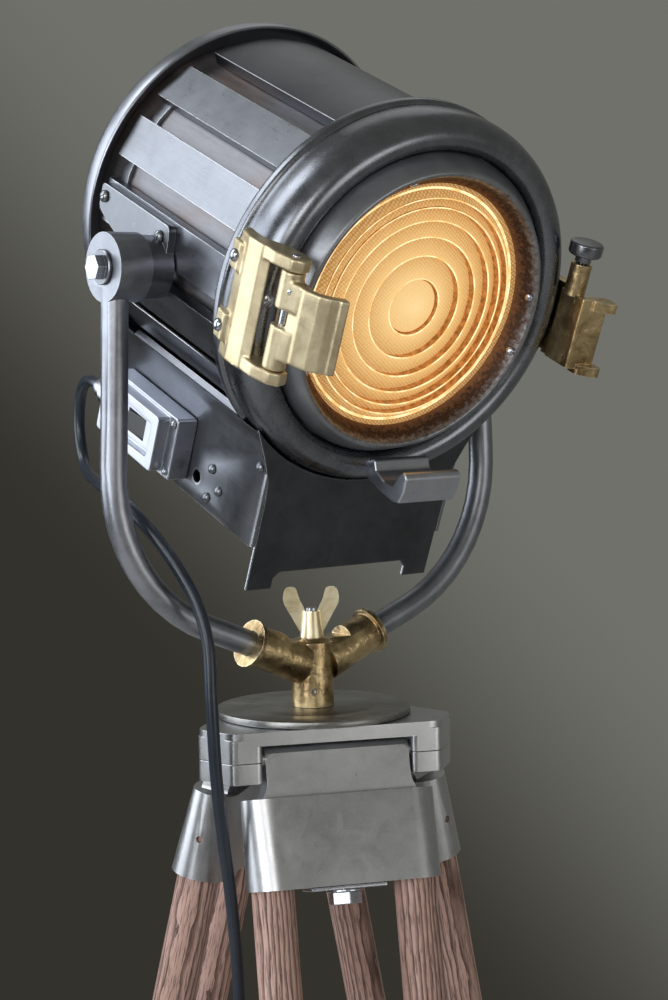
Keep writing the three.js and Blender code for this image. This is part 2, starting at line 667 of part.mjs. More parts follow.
function buildHousing(head) {
  piece(
    head,
    "inner_drum",
    "darkSteel",
    cut(
      turnedAhead([
        [DRUM_RADIUS, REAR_FACE + 2.4],
        [DRUM_RADIUS, RING_SEAT - 3.4],
        [DRUM_RADIUS - DRUM_WALL, RING_SEAT - 3.4],
        [DRUM_RADIUS - DRUM_WALL, REAR_FACE + 2.4],
      ]),
      block(-26, 26, -100, 80, AXIS_RISE - DRUM_RADIUS - 5, AXIS_RISE - DRUM_RADIUS + 25),
    ),
  );
  const bandInner = DRUM_RADIUS + GAP + 0.6;
  const bandOuter = STRIP_RADIUS - STRIP_DEPTH + 1;
  const first = STRIP_ANGLES[0] - STRIP_HALF_ANGLE;
  const last = STRIP_ANGLES[STRIP_ANGLES.length - 1] + STRIP_HALF_ANGLE;
  const jacket = join(
    ...STRIP_ANGLES.map(stripShape),
    arcBand(bandInner, bandOuter, first, last, STRIP_REAR + 4, STRIP_REAR + 14),
    arcBand(bandInner, bandOuter, first, last, STRIP_FRONT - 14, STRIP_FRONT - 4),
  );
  piece(head, "jacket_strips_left", "gunmetal", jacket);
  piece(head, "jacket_strips_right", "gunmetal", jacket.clone().scale(-1, 1, 1));
  const cover = join(
    arcBand(
      STRIP_RADIUS - STRIP_WALL,
      STRIP_RADIUS,
      -COVER_HALF_ANGLE,
      COVER_HALF_ANGLE,
      STRIP_REAR,
      STRIP_FRONT,
      12,
    ),
    ...[-1, 1].map((side) =>
      extrudeAhead(
        new THREE.Shape([
          new THREE.Vector2(0, DRUM_RADIUS + GAP + 0.3),
          new THREE.Vector2(0, STRIP_RADIUS - 0.6),
          new THREE.Vector2(side * -STRIP_WALL, STRIP_RADIUS - 0.6),
          new THREE.Vector2(side * -STRIP_WALL, DRUM_RADIUS + GAP + 0.3),
        ]),
        STRIP_REAR,
        STRIP_FRONT,
      )
        .rotateY(side * COVER_HALF_ANGLE)
        .translate(0, 0, AXIS_RISE),
    ),
  );
  piece(head, "top_cover", "gunmetal", cover);
  const wall = SHEET + 2;
  piece(
    head,
    "rear_cap",
    "gunmetal",
    turnedAhead([
      [0, REAR_FACE - 6],
      [54, REAR_FACE - 6],
      [60, REAR_FACE],
      [REAR_RADIUS - 8, REAR_FACE],
      [REAR_RADIUS - 2, REAR_FACE + 4],
      [REAR_RADIUS, REAR_FACE + 11],
      [REAR_RADIUS, REAR_FACE + 19],
      [REAR_RADIUS - 2, REAR_FACE + 21],
      [REAR_RADIUS - wall, REAR_FACE + 20],
      [REAR_RADIUS - wall - 1, REAR_FACE + 8],
      [REAR_RADIUS - 10, REAR_FACE + SHEET],
      [59, REAR_FACE + SHEET],
      [53, REAR_FACE - 4],
      [0, REAR_FACE - 4],
    ]),
  );
  piece(
    head,
    "front_ring",
    "blackSteel",
    turnedAhead([
      [RING_RADIUS - 9, RING_REAR],
      [RING_RADIUS - 1.6, RING_REAR],
      [RING_RADIUS, RING_REAR + 1.6],
      [RING_RADIUS, RING_REAR + 7],
      [RING_RADIUS - 3, RING_REAR + 9],
      [RING_RADIUS - 1.2, RING_REAR + 24],
      [RING_RADIUS - 2, RING_REAR + 36],
      [RING_RADIUS - 6, RING_REAR + 44],
      [RING_RADIUS - 12, RING_NOSE - 1.5],
      [RING_RADIUS - 19, RING_NOSE],
      [BEZEL_RADIUS + 4, RING_NOSE - 3],
      [BEZEL_RADIUS + GAP + 0.2, RING_SEAT + 5],
      [BEZEL_RADIUS + GAP + 0.2, RING_SEAT],
      [LENS_RADIUS + 9, RING_SEAT],
      [LENS_RADIUS + 9, RING_SEAT - 3],
      [RING_RADIUS - 9, RING_SEAT - 3],
    ], 36),
  );
  const seat = LENS_FACE - 8;
  piece(
    head,
    "lens_bezel",
    "blackSteel",
    turnedAhead([
      [LENS_RADIUS + RUNNING, RING_SEAT + GAP],
      [BEZEL_RADIUS, RING_SEAT + GAP],
      [BEZEL_RADIUS, BEZEL_FRONT - 6],
      [BEZEL_RADIUS - 2, BEZEL_FRONT - 2],
      [BEZEL_RADIUS - 5, BEZEL_FRONT],
      [BEZEL_RADIUS - 9, BEZEL_FRONT - 1],
      [BEZEL_RADIUS - 11, BEZEL_FRONT - 5],
      [APERTURE + 2, LENS_FACE + 3],
      [APERTURE, LENS_FACE + 1.5],
      [APERTURE, LENS_FACE + GAP],
      [LENS_RADIUS + RUNNING, LENS_FACE + GAP],
    ], 36),
  );
  const dome = 6;
  piece(
    head,
    "fresnel_lens",
    "glass",
    turnedAhead([
      [0, seat],
      [LENS_RADIUS, seat],
      [LENS_RADIUS, LENS_FACE],
      [APERTURE - 2, LENS_FACE],
      [APERTURE - 4, LENS_FACE - 2],
      [26, LENS_FACE - 2],
      [22, LENS_FACE + dome - 3],
      [12, LENS_FACE + dome - 1],
      [0, LENS_FACE + dome],
    ]),
  );
}

function buildBaseBox(head) {
  const lean = 13;
  const rise = 19;
  const side = BOX_HALF_WIDTH;
  const plateRear = FRONT_PLATE - FRONT_PLATE_WALL;
  const half = [
    [side + lean, BOX_TOP + rise],
    [side, BOX_TOP],
    [side, BOX_BOTTOM],
  ];
  const mirror = (points) => points.map(([x, y]) => [-x, y]);
  const inner = [
    [side - SHEET, BOX_BOTTOM + SHEET],
    [side - SHEET, BOX_TOP - 0.8],
    [side + lean - SHEET, BOX_TOP + rise],
  ];
  const outline = [...mirror(half), ...[...half].reverse(), ...[...inner].reverse(), ...mirror(inner)];
  const profile = new THREE.Shape(outline.map(([x, y]) => new THREE.Vector2(x, y)));
  piece(
    head,
    "base_box",
    "gunmetal",
    cut(
      join(
        extrudeAhead(profile, BOX_REAR, plateRear - GAP),
        block(-side + 1, side - 1, -BOX_REAR - SHEET, -BOX_REAR, BOX_BOTTOM + 1, BOX_TOP - 8),
      ),
      roundAhead(RING_RADIUS + 0.9, RING_REAR - 1.5, FRONT_PLATE + 10, 36).translate(0, 0, AXIS_RISE),
      roundX(3.3, -side - 5, -side + 5, 10).translate(0, -42, -160),
      roundAhead(FOCUS_SHAFT + RUNNING, BOX_REAR - 5, BOX_REAR + 5, 12).translate(0, 0, FOCUS_HEIGHT),
    ),
  );
  const arc = RING_RADIUS + 0.2;
  const end = THREE.MathUtils.degToRad(133);
  const cheek = [
    [side + 5, -105],
    [side - 2.5, -124],
    [side - 4, -142],
    [side - 4, FOOT_LINE],
    [side - 28, FOOT_LINE],
    [side - 28, FOOT_LINE + 9],
    [side - 33, FOOT_LINE + 14],
  ];
  const plate = new THREE.Shape();
  plate.absarc(0, AXIS_RISE, arc, Math.PI / 2 - end, Math.PI / 2 + end - 2 * Math.PI, true);
  for (const [x, y] of mirror(cheek)) plate.lineTo(x, y);
  for (const [x, y] of [...cheek].reverse()) plate.lineTo(x, y);
  plate.closePath();
  piece(head, "front_plate", "darkSteel", extrudeAhead(plate, plateRear, FRONT_PLATE, 8));
  for (const [hand, mirrorX] of [["left", -1], ["right", 1]]) {
    const back = STRIP_RADIUS * Math.cos(STRIP_HALF_ANGLE) + GAP;
    const outlinePlate = rounded(
      [[-91, 38], [15, 38], [19, 5], [12, -20], [-12, -20], [-28, -4], [-74, 10], [-91, 17]],
      5,
    );
    const bracket = cut(
      join(
        extrudeAcross(outlinePlate, back, BRACKET_FACE),
        roundX(BOSS_RADIUS, back + 1, HUB_FACE - HUB_LENGTH - RUNNING, 28),
      ),
      roundX(PIVOT_BOLT + RUNNING, HUB_FACE - HUB_LENGTH - 16, HUB_FACE, 14),
    );
    piece(head, `trunnion_bracket_${hand}`, "gunmetal", mirrorX > 0 ? bracket : bracket.scale(-1, 1, 1));
  }
}

function buildFrontFittings(head) {
  const ringClear = roundAhead(RING_RADIUS + 0.5, RING_REAR - 10, RING_NOSE + 0.5, 36)
    .translate(0, 0, AXIS_RISE);
  const middle = AXIS_RISE;
  const hinge = { across: -142, ahead: 166, pin: 3 };
  const ears = [-1, 1].map((side) => {
    const outer = middle + side * 48;
    const inner = middle + side * 39;
    return extrudeUp(
      [[-158, 116], [-159, 160], [-150, 173], [-136, 173], [-136, 150], [-141, 116]],
      Math.min(outer, inner),
      Math.max(outer, inner),
      4,
    );
  });
  piece(
    head,
    "latch_base",
    "brass",
    cut(
      join(
        extrudeUp([[-155, 116], [-155, 147], [-130, 147], [-130, 116]], middle - 44, middle + 44),
        extrudeUp([[-158, 114], [-158, 124], [-130, 124], [-130, 114]], middle - 46, middle + 46),
        ...ears,
      ),
      ringClear,
      roundZ(hinge.pin + RUNNING, middle - 60, middle + 60, 10).translate(hinge.across, -hinge.ahead, 0),
    ),
  );
  const knuckles = [[middle + 10, middle + 38], [middle - 38, middle - 14]].map(([low, high]) =>
    roundZ(6.5, low, high, 12).translate(hinge.across, -hinge.ahead, 0),
  );
  piece(
    head,
    "latch_hook",
    "brass",
    join(
      ...knuckles,
      roundZ(hinge.pin, middle - 46, middle + 46, 10).translate(hinge.across, -hinge.ahead, 0),
      extrudeUp(
        [
          [hinge.across - 6, hinge.ahead + 1],
          [hinge.across - 6, hinge.ahead + 32],
          [hinge.across + 1, hinge.ahead + 41],
          [hinge.across + 24, hinge.ahead + 43],
          [hinge.across + 24, hinge.ahead + 36],
          [hinge.across + 4, hinge.ahead + 34],
          [hinge.across, hinge.ahead + 28],
          [hinge.across, hinge.ahead + 4],
        ],
        middle - 38,
        middle + 34,
        4,
      ),
    ),
  );
  piece(
    head,
    "lower_hook",
    "aluminium",
    cut(
      extrudeAcross(
        rounded(
          [
            [150, -130],
            [190, -130],
            [196, -124],
            [196, -101],
            [192, -97],
            [187, -101],
            [186, -117],
            [166, -118],
            [165, -95],
            [BEZEL_FRONT + GAP, -95],
            [BEZEL_FRONT + GAP, -112],
            [150, -122],
          ],
          3,
        ),
        -8,
        46,
      ),
      roundAhead(BEZEL_RADIUS + 0.5, RING_NOSE, BEZEL_FRONT + GAP, 36).translate(0, 0, AXIS_RISE),
    ),
  );
  const boss = { across: 147, ahead: 158 };
  piece(
    head,
    "side_bracket",
    "agedBrass",
    cut(
      join(
        extrudeUp([[132, 108], [158, 108], [158, 146], [132, 146]], -16, 42),
        extrudeUp([[142, 140], [148, 140], [148, 170], [166, 174], [166, 180], [142, 176]], -18, 40, 2),
        extrudeUp([[150, 168], [169, 172], [169, 188], [162, 188], [150, 180]], 32, 40, 3),
        extrudeUp([[150, 168], [169, 172], [169, 188], [162, 188], [150, 180]], -22, -14, 3),
        roundZ(8.5, 38, 64, 14).translate(boss.across, -boss.ahead, 0),
      ),
      ringClear,
      roundZ(3.5 + RUNNING, 45, 80, 10).translate(boss.across, -boss.ahead, 0),
    ),
  );
  piece(
    head,
    "knurled_screw",
    "blackSteel",
    turned([
      [0, 47],
      [3.5, 47],
      [3.5, 65],
      [6.5, 65],
      [6.5, 70],
      [12.5, 71],
      [13.5, 73],
      [13.5, 80],
      [12.5, 81.5],
      [0, 82],
    ], 18)
      .translate(boss.across, -boss.ahead, 0),
  );
}

function buildSwitch(head) {
  const { rear, front, low, high, deep, cover } = SWITCH_BOX;
  const inner = BOX_HALF_WIDTH + GAP;
  const face = inner + deep;
  const rocker = { ahead: -24, up: -145, long: 26, high: 17 };
  const coverShape = rounded([
    [rear + 6, low + 3],
    [front - 12, low + 3],
    [front - 12, high - 3],
    [rear + 6, high - 3],
  ], 4);
  const dish = rounded([
    [rear + 14, low + 9],
    [front - 22, low + 12],
    [front - 22, high - 12],
    [rear + 14, high - 9],
  ], 4);
  piece(
    head,
    "switch_box",
    "aluminium",
    cut(
      join(
        extrudeAcross(rounded([[rear, low], [front, low], [front, high], [rear, high]], 4), -face, -inner),
        extrudeAcross(coverShape, -face - cover, -face + 1),
      ),
      extrudeAcross(dish, -face - cover - 2, -face - cover + 7),
      block(
        -face - cover - 5, -face + 6,
        -rocker.ahead - rocker.long / 2 - RUNNING, -rocker.ahead + rocker.long / 2 + RUNNING,
        rocker.up - rocker.high / 2 - RUNNING, rocker.up + rocker.high / 2 + RUNNING,
      ),
    ),
  );
  const crest = 4;
  piece(
    head,
    "rocker",
    "blackSteel",
    extrudeUp(
      [
        [-face + 3, rocker.ahead - 6],
        [-face - 3, rocker.ahead - rocker.long / 2 + 1.2],
        [-face - crest - 2.5, rocker.ahead - rocker.long / 2 + 2],
        [-face - crest, rocker.ahead],
        [-face - crest + 2, rocker.ahead + rocker.long / 2 - 1.2],
        [-face - 1, rocker.ahead + rocker.long / 2 - 1.2],
        [-face + 3, rocker.ahead + 6],
      ],
      rocker.up - rocker.high / 2,
      rocker.up + rocker.high / 2,
    ),
  );
  piece(
    head,
    "cable_gland",
    "polishedSteel",
    turned([
      [LEAD_RADIUS + RUNNING, 4],
      [LEAD_RADIUS + RUNNING, 26],
      [7.5, 26],
      [8.5, 20],
      [8.5, 12],
      [11, 12],
      [11, GAP],
      [LEAD_RADIUS - 2, GAP],
      [LEAD_RADIUS - 2, 4],
    ], 14)
      .rotateX(-Math.PI / 2)
      .translate(-inner - 11.5, -rear, -146),
  );
}

function buildOptics(head) {
  const shaftEnd = 70;
  const up = FOCUS_HEIGHT;
  piece(
    head,
    "lamp_carriage",
    "darkSteel",
    cut(
      join(
        block(-40, 40, -30, 30, up - 10, up + 12),
        block(-20, 20, -12, 12, up + 10, AXIS_RISE - 52),
        roundZ(20, AXIS_RISE - 62, AXIS_RISE - 36, 16),
        block(-8, 8, 0, 48, AXIS_RISE - 70, AXIS_RISE - 63),
        block(-8, 8, 44, 48, AXIS_RISE - 70, AXIS_RISE - 5),
      ),
      roundAhead(FOCUS_SHAFT + RUNNING, -60, 60, 12).translate(0, 0, up),
      roundZ(14 + GAP, AXIS_RISE - 56, AXIS_RISE - 20, 14),
    ),
  );
  piece(
    head,
    "bulb",
    "glass",
    turned([[0, -55], [13, -55], [13, -30], [18, -24], [29, -8], [32, 8], [28, 24], [16, 35], [0, 39]], 16)
      .translate(0, 0, AXIS_RISE),
  );
  piece(
    head,
    "reflector",
    "mirror",
    cut(
      turnedAhead(
        [[0, -41.5], [26, -37], [46, -25], [58, -10], [60, -10], [47.5, -27], [27, -39.4], [0, -43]],
        20,
      ),
      block(-21, 21, -30, 21, AXIS_RISE - 80, AXIS_RISE - 34),
    ),
  );
  piece(
    head,
    "focus_knob",
    "blackSteel",
    turned([
      [0, -shaftEnd],
      [FOCUS_SHAFT, -shaftEnd],
      [FOCUS_SHAFT, -BOX_REAR + 3],
      [8, -BOX_REAR + 3],
      [8, -BOX_REAR + 8],
      [15, -BOX_REAR + 9],
      [16, -BOX_REAR + 11],
      [16, -BOX_REAR + 20],
      [14, -BOX_REAR + 23],
      [0, -BOX_REAR + 24],
    ], 16)
      .rotateX(-Math.PI / 2)
      .translate(0, 0, up),
  );
}

function buildLampHead() {
  const head = new THREE.Group();
  head.position.z = DISC_TOP + TRUNNION_RISE;
  head.rotation.x = TILT;
  lamp.add(head);
  buildHousing(head);
  buildBaseBox(head);
  buildFrontFittings(head);
  buildSwitch(head);
  buildOptics(head);
}

// The mains lead: out of the gland, round behind the left yoke arm, down past the crown and
// between two legs, then wound in a coil on the floor. Heights are above the disc.
function leadLine() {
  const hanging = [
    [-104.8, 132.2, 255.2], [-104.8, 145.6, 260.8], [-104.8, 158, 266], [-101, 180, 268],
    [-93, 206, 256], [-90, 216, 228],
    [-93, 205, 200], [-104, 176, 188], [-120, 140, 187], [-135, 108, 186], [-146, 80, 184],
    [-153, 55, 181], [-156, 32, 175], [-154, 12, 163], [-146, -3, 146], [-136, -16, 123],
    [-129, -29, 98], [-126, -39, 68], [-126, -42, 24], [-121, -39, -40], [-115, -36, -82],
    [-106, -33, -139], [-97, -28, -223], [-98, -26, -400], [-106, -26, -600], [-118, -26, -850],
  ].map(([x, y, z]) => new THREE.Vector3(x, y, DISC_TOP + z));
  const rest = LEAD_RADIUS + GAP;
  const pitch = 2 * LEAD_RADIUS + 2 * GAP;
  const centre = new THREE.Vector3(COIL_AT[0], COIL_AT[1], 0);
  const entry = 50;
  const coilTop = rest + COIL_TURNS * pitch;
  for (const angle of [0, 30, 60].map(THREE.MathUtils.degToRad))
    hanging.push(
      new THREE.Vector3(
        centre.x + entry * Math.cos(angle),
        centre.y + COIL_RADIUS,
        coilTop + entry * (1 - Math.sin(angle)),
      ),
    );
  const perTurn = 16;
  for (let i = 0; i <= COIL_TURNS * perTurn; i += 1) {
    const angle = Math.PI / 2 + (i / perTurn) * 2 * Math.PI;
    hanging.push(
      new THREE.Vector3(
        centre.x + COIL_RADIUS * Math.cos(angle),
        centre.y + COIL_RADIUS * Math.sin(angle),
        coilTop - (i / perTurn) * pitch,
      ),
    );
  }
  const lift = [[26, 1], [46, 6], [64, 12], [PLUG_AWAY - 8, PLUG_RADIUS - LEAD_RADIUS]];
  for (const [away, rise] of lift)
    hanging.push(new THREE.Vector3(centre.x - COIL_RADIUS, centre.y - away, rest + rise));
  return new THREE.CatmullRomCurve3(hanging, false, "centripetal");
}

function buildLead() {
  piece(lamp, "mains_lead", "rubber", tube(leadLine(), LEAD_RADIUS, 190, 2));
  const bore = LEAD_RADIUS + GAP;
  const collar = 20;
  const body = 44;
  const pins = [-9.5, 9.5].map((side) =>
    roundZ(2.4, collar + body - 2, collar + body + 19, 8).translate(side, 0, 0),
  );
  const plug = join(
    turned(
      [
        [0, collar - 2],
        [bore, collar - 2],
        [bore, -8],
        [bore + 1.8, -8],
        [bore + 3.5, collar - 2],
        [13, collar + 4],
        [PLUG_RADIUS - 1, collar + 20],
        [PLUG_RADIUS, collar + 26],
        [PLUG_RADIUS, collar + body],
        [0, collar + body],
      ],
      18,
    ),
    ...pins,
  ).rotateX(Math.PI / 2);
  piece(lamp, "plug", "rubber", plug).position.set(
    COIL_AT[0] - COIL_RADIUS,
    COIL_AT[1] - PLUG_AWAY,
    PLUG_RADIUS + GAP,
  );
}

buildTripodHead();
for (let leg = 0; leg < 3; leg += 1) buildLeg(leg);
buildYoke();
buildLampHead();

lamp.updateMatrixWorld(true);
const outside = new THREE.Box3().setFromObject(lamp, true);
const middle = outside.getCenter(new THREE.Vector3());
lamp.position.set(-middle.x, -middle.y, 0);
buildLead();

export default lamp;
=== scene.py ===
import json
import math
import bpy
from mathutils import Euler, Matrix, Vector


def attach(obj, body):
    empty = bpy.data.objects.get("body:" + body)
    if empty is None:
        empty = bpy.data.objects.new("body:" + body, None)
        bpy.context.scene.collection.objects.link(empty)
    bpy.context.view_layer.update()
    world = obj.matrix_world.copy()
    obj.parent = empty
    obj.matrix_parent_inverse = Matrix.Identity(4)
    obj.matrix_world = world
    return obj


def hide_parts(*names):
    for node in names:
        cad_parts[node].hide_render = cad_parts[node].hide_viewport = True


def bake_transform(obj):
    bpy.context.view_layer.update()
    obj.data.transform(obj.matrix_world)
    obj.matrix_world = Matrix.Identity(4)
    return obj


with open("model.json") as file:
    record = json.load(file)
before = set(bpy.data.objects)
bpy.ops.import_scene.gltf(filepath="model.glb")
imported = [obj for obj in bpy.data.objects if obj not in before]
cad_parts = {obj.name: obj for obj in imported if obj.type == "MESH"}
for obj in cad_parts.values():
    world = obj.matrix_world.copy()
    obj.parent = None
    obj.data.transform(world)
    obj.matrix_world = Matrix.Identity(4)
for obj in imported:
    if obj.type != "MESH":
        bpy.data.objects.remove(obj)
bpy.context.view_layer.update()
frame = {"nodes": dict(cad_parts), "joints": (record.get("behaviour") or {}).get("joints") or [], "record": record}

# Metres
MM = 0.001
CROWN_TOP = 1.080
DISC_TOP = 1.0863

# Millimetres, from the lamp's own axis or along it
AXIS_RISE = 23  # trunnion axis to the lamp's axis
HUB_FACE = 187.3
STRIP_RADIUS = 139
BOX_SIDE = 93
LENS_RADIUS = 103
LENS_STEPS = (22.5, 41, 56, 69, 79.5, 87, 93)  # where one ring of the lens gives way to the next

LEFT = (-1, 0, 0)
RIGHT = (1, 0, 0)
TILT = math.radians(22.8)
SPLAY = math.radians(13)
joints = {joint["name"]: joint for joint in frame["joints"]}
body_of = {node: body for body, nodes in frame["record"]["behaviour"]["bodies"].items() for node in nodes}
slot_of = {part["node"]: part["material_slot"] for part in frame["record"]["subparts"]}
TRUNNION = Vector(joints["lamp_tilt"]["pos_m"])
TRIPOD_AXIS = Vector((TRUNNION.x, TRUNNION.y, 0))
# The lamp head's own directions: X across, -Y ahead, Z up, from the trunnion axis.
HEAD = Matrix.Translation(TRUNNION) @ Matrix.Rotation(TILT, 4, "X")
# Round things on the lamp's axis are turned about Z, with Z pointing ahead.
LAMP_AXIS = HEAD @ Matrix.Translation((0, 0, AXIS_RISE * MM)) @ Matrix.Rotation(math.pi / 2, 4, "X")
YOKE = Matrix.Translation(TRIPOD_AXIS + Vector((0, 0, DISC_TOP)))


def leg_place(leg):
    """A leg's own directions: -Z down the leg, from its hinge axis."""
    turn = math.radians(-110 + 120 * leg + 90)
    hinge = Vector(joints[f"leg_{leg + 1}_hinge"]["pos_m"])
    return Matrix.Translation(hinge) @ Matrix.Rotation(turn, 4, "Z") @ Matrix.Rotation(-SPLAY, 4, "X")


# ---------------------------------------------------------------- camera and light

def set_camera():
    data = bpy.data.cameras.new("camera")
    data.lens = 79.45
    data.sensor_width = 36
    camera = bpy.data.objects.new("camera", data)
    camera.location = (-1.0909, -1.4390, 1.3932)
    camera.rotation_euler = Euler([math.radians(a) for a in (85.60, 1.087, -36.065)])
    bpy.context.scene.collection.objects.link(camera)
    bpy.context.scene.camera = camera


def softbox(name, place, target, size, power, colour=(1, 1, 1)):
    data = bpy.data.lights.new(name, "AREA")
    data.shape = "RECTANGLE"
    data.size, data.size_y = size
    data.energy = power
    data.color = colour
    lamp = bpy.data.objects.new(name, data)
    lamp.location = place
    lamp.rotation_euler = (Vector(target) - Vector(place)).to_track_quat("-Z", "Y").to_euler()
    lamp.visible_camera = False
    bpy.context.scene.collection.objects.link(lamp)


def set_backdrop():
    """A plain wall colour all round, a little darker low on the window side."""
    world = bpy.data.worlds.new("studio")
    world.use_nodes = True
    nodes, links = world.node_tree.nodes, world.node_tree.links
    where = nodes.new("ShaderNodeTexCoord")
    across = nodes.new("ShaderNodeVectorMath")
    across.operation = "DOT_PRODUCT"
    across.inputs[1].default_value = (0.80, -0.60, 0.90)
    tone = nodes.new("ShaderNodeValToRGB")
    tone.color_ramp.interpolation = "EASE"
    tone.color_ramp.elements[0].position = 0.27
    tone.color_ramp.elements[0].color = (0.034, 0.032, 0.026, 1)
    tone.color_ramp.elements[1].position = 0.51
    tone.color_ramp.elements[1].color = (0.165, 0.165, 0.148, 1)
    shift = nodes.new("ShaderNodeMath")
    shift.operation = "ADD"
    shift.inputs[1].default_value = 0.5
    links.new(where.outputs["Generated"], across.inputs[0])
    links.new(across.outputs["Value"], shift.inputs[0])
    links.new(shift.outputs[0], tone.inputs["Fac"])
    links.new(tone.outputs["Color"], nodes["Background"].inputs["Color"])
    bpy.context.scene.world = world


def set_studio():
    set_backdrop()
    bpy.context.scene.view_settings.view_transform = "Standard"
    middle = (-0.05, 0.0, 1.3)
    softbox("window", (-2.3, 2.0, 1.9), middle, (2.4, 2.4), 56, (0.88, 0.94, 1.0))
    softbox("near_window", (-2.9, -0.9, 1.6), middle, (1.1, 2.0), 38, (0.92, 0.96, 1.0))
    softbox("high_window", (-1.5, 1.1, 3.3), middle, (1.2, 1.2), 20, (0.92, 0.96, 1.0))
    softbox("front_fill", (0.6, -3.0, 0.9), middle, (1.6, 1.2), 10, (1.0, 0.98, 0.95))
    softbox("beside_camera", (-1.9, -2.1, 1.9), middle, (0.7, 0.9), 10, (1.0, 0.98, 0.95))
    softbox("ceiling", (1.0, 1.2, 3.3), middle, (1.4, 1.4), 2.5)


# ---------------------------------------------------------------- finishes

class Value:
    """A number on a node's output. Sums and products of it add Math nodes."""

    def __init__(self, finish, socket):
        self.finish = finish
        self.socket = socket

    def math(self, operation, first, second):
        return self.finish.add("ShaderNodeMath", {"operation": operation}, {0: first, 1: second})

    def __add__(self, other):
        return self.math("ADD", self, other)

    __radd__ = __add__

    def __mul__(self, other):
        return self.math("MULTIPLY", self, other)

    __rmul__ = __mul__

    def __sub__(self, other):
        return self.math("SUBTRACT", self, other)

    def __rsub__(self, other):
        return self.math("SUBTRACT", other, self)


class Finish:
    """A material on the principled shader."""

    def __init__(self, name, **constants):
        self.material = bpy.data.materials.new(name)
        self.material.use_nodes = True
        self.tree = self.material.node_tree
        self.shader = self.tree.nodes["Principled BSDF"]
        for socket, value in constants.items():
            self.shader.inputs[socket.replace("_", " ")].default_value = value

    def add(self, kind, settings, sockets, out=0):
        node = self.tree.nodes.new(kind)
        for setting, value in settings.items():
            if setting == "stops":
                while len(node.color_ramp.elements) < len(value):
                    node.color_ramp.elements.new(0.5)
                for element, (position, colour) in zip(node.color_ramp.elements, value):
                    element.position = position
                    element.color = (*colour, 1)
            else:
                setattr(node, setting, value)
        for socket, value in sockets.items():
            if isinstance(value, Value):
                self.tree.links.new(value.socket, node.inputs[socket])
            else:
                node.inputs[socket].default_value = value
        return Value(self, node.outputs[out])

    def drive(self, **sockets):
        for socket, value in sockets.items():
            self.tree.links.new(value.socket, self.shader.inputs[socket.replace("_", " ")])
        return self

    def place(self, location=(0, 0, 0), turn=(0, 0, 0), stretch=(1, 1, 1)):
        where = self.add("ShaderNodeTexCoord", {}, {}, "Object")
        return self.add(
            "ShaderNodeMapping",
            {"vector_type": "TEXTURE"},
            {"Vector": where, "Location": location, "Rotation": turn, "Scale": stretch},
        )

    def noise(self, where, scale, detail=4, roughness=0.55, distortion=0):
        sockets = {
            "Vector": where, "Scale": scale, "Detail": detail, "Roughness": roughness,
            "Distortion": distortion,
        }
        return self.add("ShaderNodeTexNoise", {}, sockets)

    def cells(self, where, scale, randomness=1):
        sockets = {"Vector": where, "Scale": scale, "Randomness": randomness}
        return self.add("ShaderNodeTexVoronoi", {}, sockets, "Distance")

    def ramp(self, value, *stops):
        return self.add("ShaderNodeValToRGB", {"stops": stops}, {"Fac": value})

    def between(self, value, low, high, out_low=0.0, out_high=1.0):
        return self.add("ShaderNodeMapRange", {}, {0: value, 1: low, 2: high, 3: out_low, 4: out_high})

    def mix(self, share, first, second, blend="MIX"):
        """One colour or another by a share. A plain colour is three numbers."""
        first, second = (part if isinstance(part, Value) else (*part, 1) for part in (first, second))
        settings = {"data_type": "RGBA", "blend_type": blend}
        return self.add("ShaderNodeMix", settings, {0: share, 6: first, 7: second}, 2)

    def edge_wear_and_highlight(self, radius, strength):
        """Bright where the surface turns a corner: partly rubbed wear, partly a painted highlight."""
        rounded = self.add("ShaderNodeBevel", {"samples": 4}, {"Radius": radius})
        flat = self.add("ShaderNodeNewGeometry", {}, {}, "Normal")
        same = self.add("ShaderNodeVectorMath", {"operation": "DOT_PRODUCT"}, {0: rounded, 1: flat}, "Value")
        return self.between(1 - same, 0.01, 0.22, 0.0, strength)

    def bump(self, height, distance, strength=1.0):
        return self.add("ShaderNodeBump", {}, {"Height": height, "Distance": distance, "Strength": strength})


def grey(level, tint=(1, 1, 1)):
    return tuple(level * part for part in tint)


def metal(name, level, tint=(1, 1, 1.03), rough=0.34, blotch=0.35, grain=(1, 1, 1), turn=(0, 0, 0),
          worn=0.5, edge=0.62, pits=0.00004, scratch=0.5):
    """Worn bare or blackened metal: cloudy tone, fine scratches along the grain, and lighter edges that are partly
    rubbed wear and partly a painted highlight.
    """
    finish = Finish(name, Metallic=1.0)
    plain = finish.place()
    brushed = finish.place(turn=turn, stretch=grain)
    clouds = finish.noise(plain, 14, 5, 0.6)
    smudge = finish.noise(plain, 55, 4, 0.65, 0.6)
    lines = finish.noise(brushed, 700, 3, 0.6)
    rubs = finish.between(finish.noise(plain, 160, 2, 0.5, 1.2), 0.62, 0.72)
    tone = finish.between(clouds * 0.6 + smudge * 0.4, 0.32, 0.68)
    base = finish.mix(tone, grey(level * (1 - blotch), tint), grey(level * (1 + blotch * 0.6), tint))
    streaked = finish.mix(lines * scratch, base, grey(min(1, level * 1.5), tint))
    # Edges painted lighter: partly rubbed wear, partly a painted highlight.
    rim = finish.edge_wear_and_highlight(0.0012, worn)
    coloured = finish.mix(rim, streaked, grey(edge))
    roughness = rough - 0.12 + smudge * 0.16 + lines * 0.10 - rim * 0.1 - rubs * 0.05
    height = lines * 0.25 + finish.noise(plain, 420, 2) * 0.5 + rubs * 0.3
    return finish.drive(
        Base_Color=coloured, Roughness=roughness, Normal=finish.bump(height, pits, 0.8)
    ).material


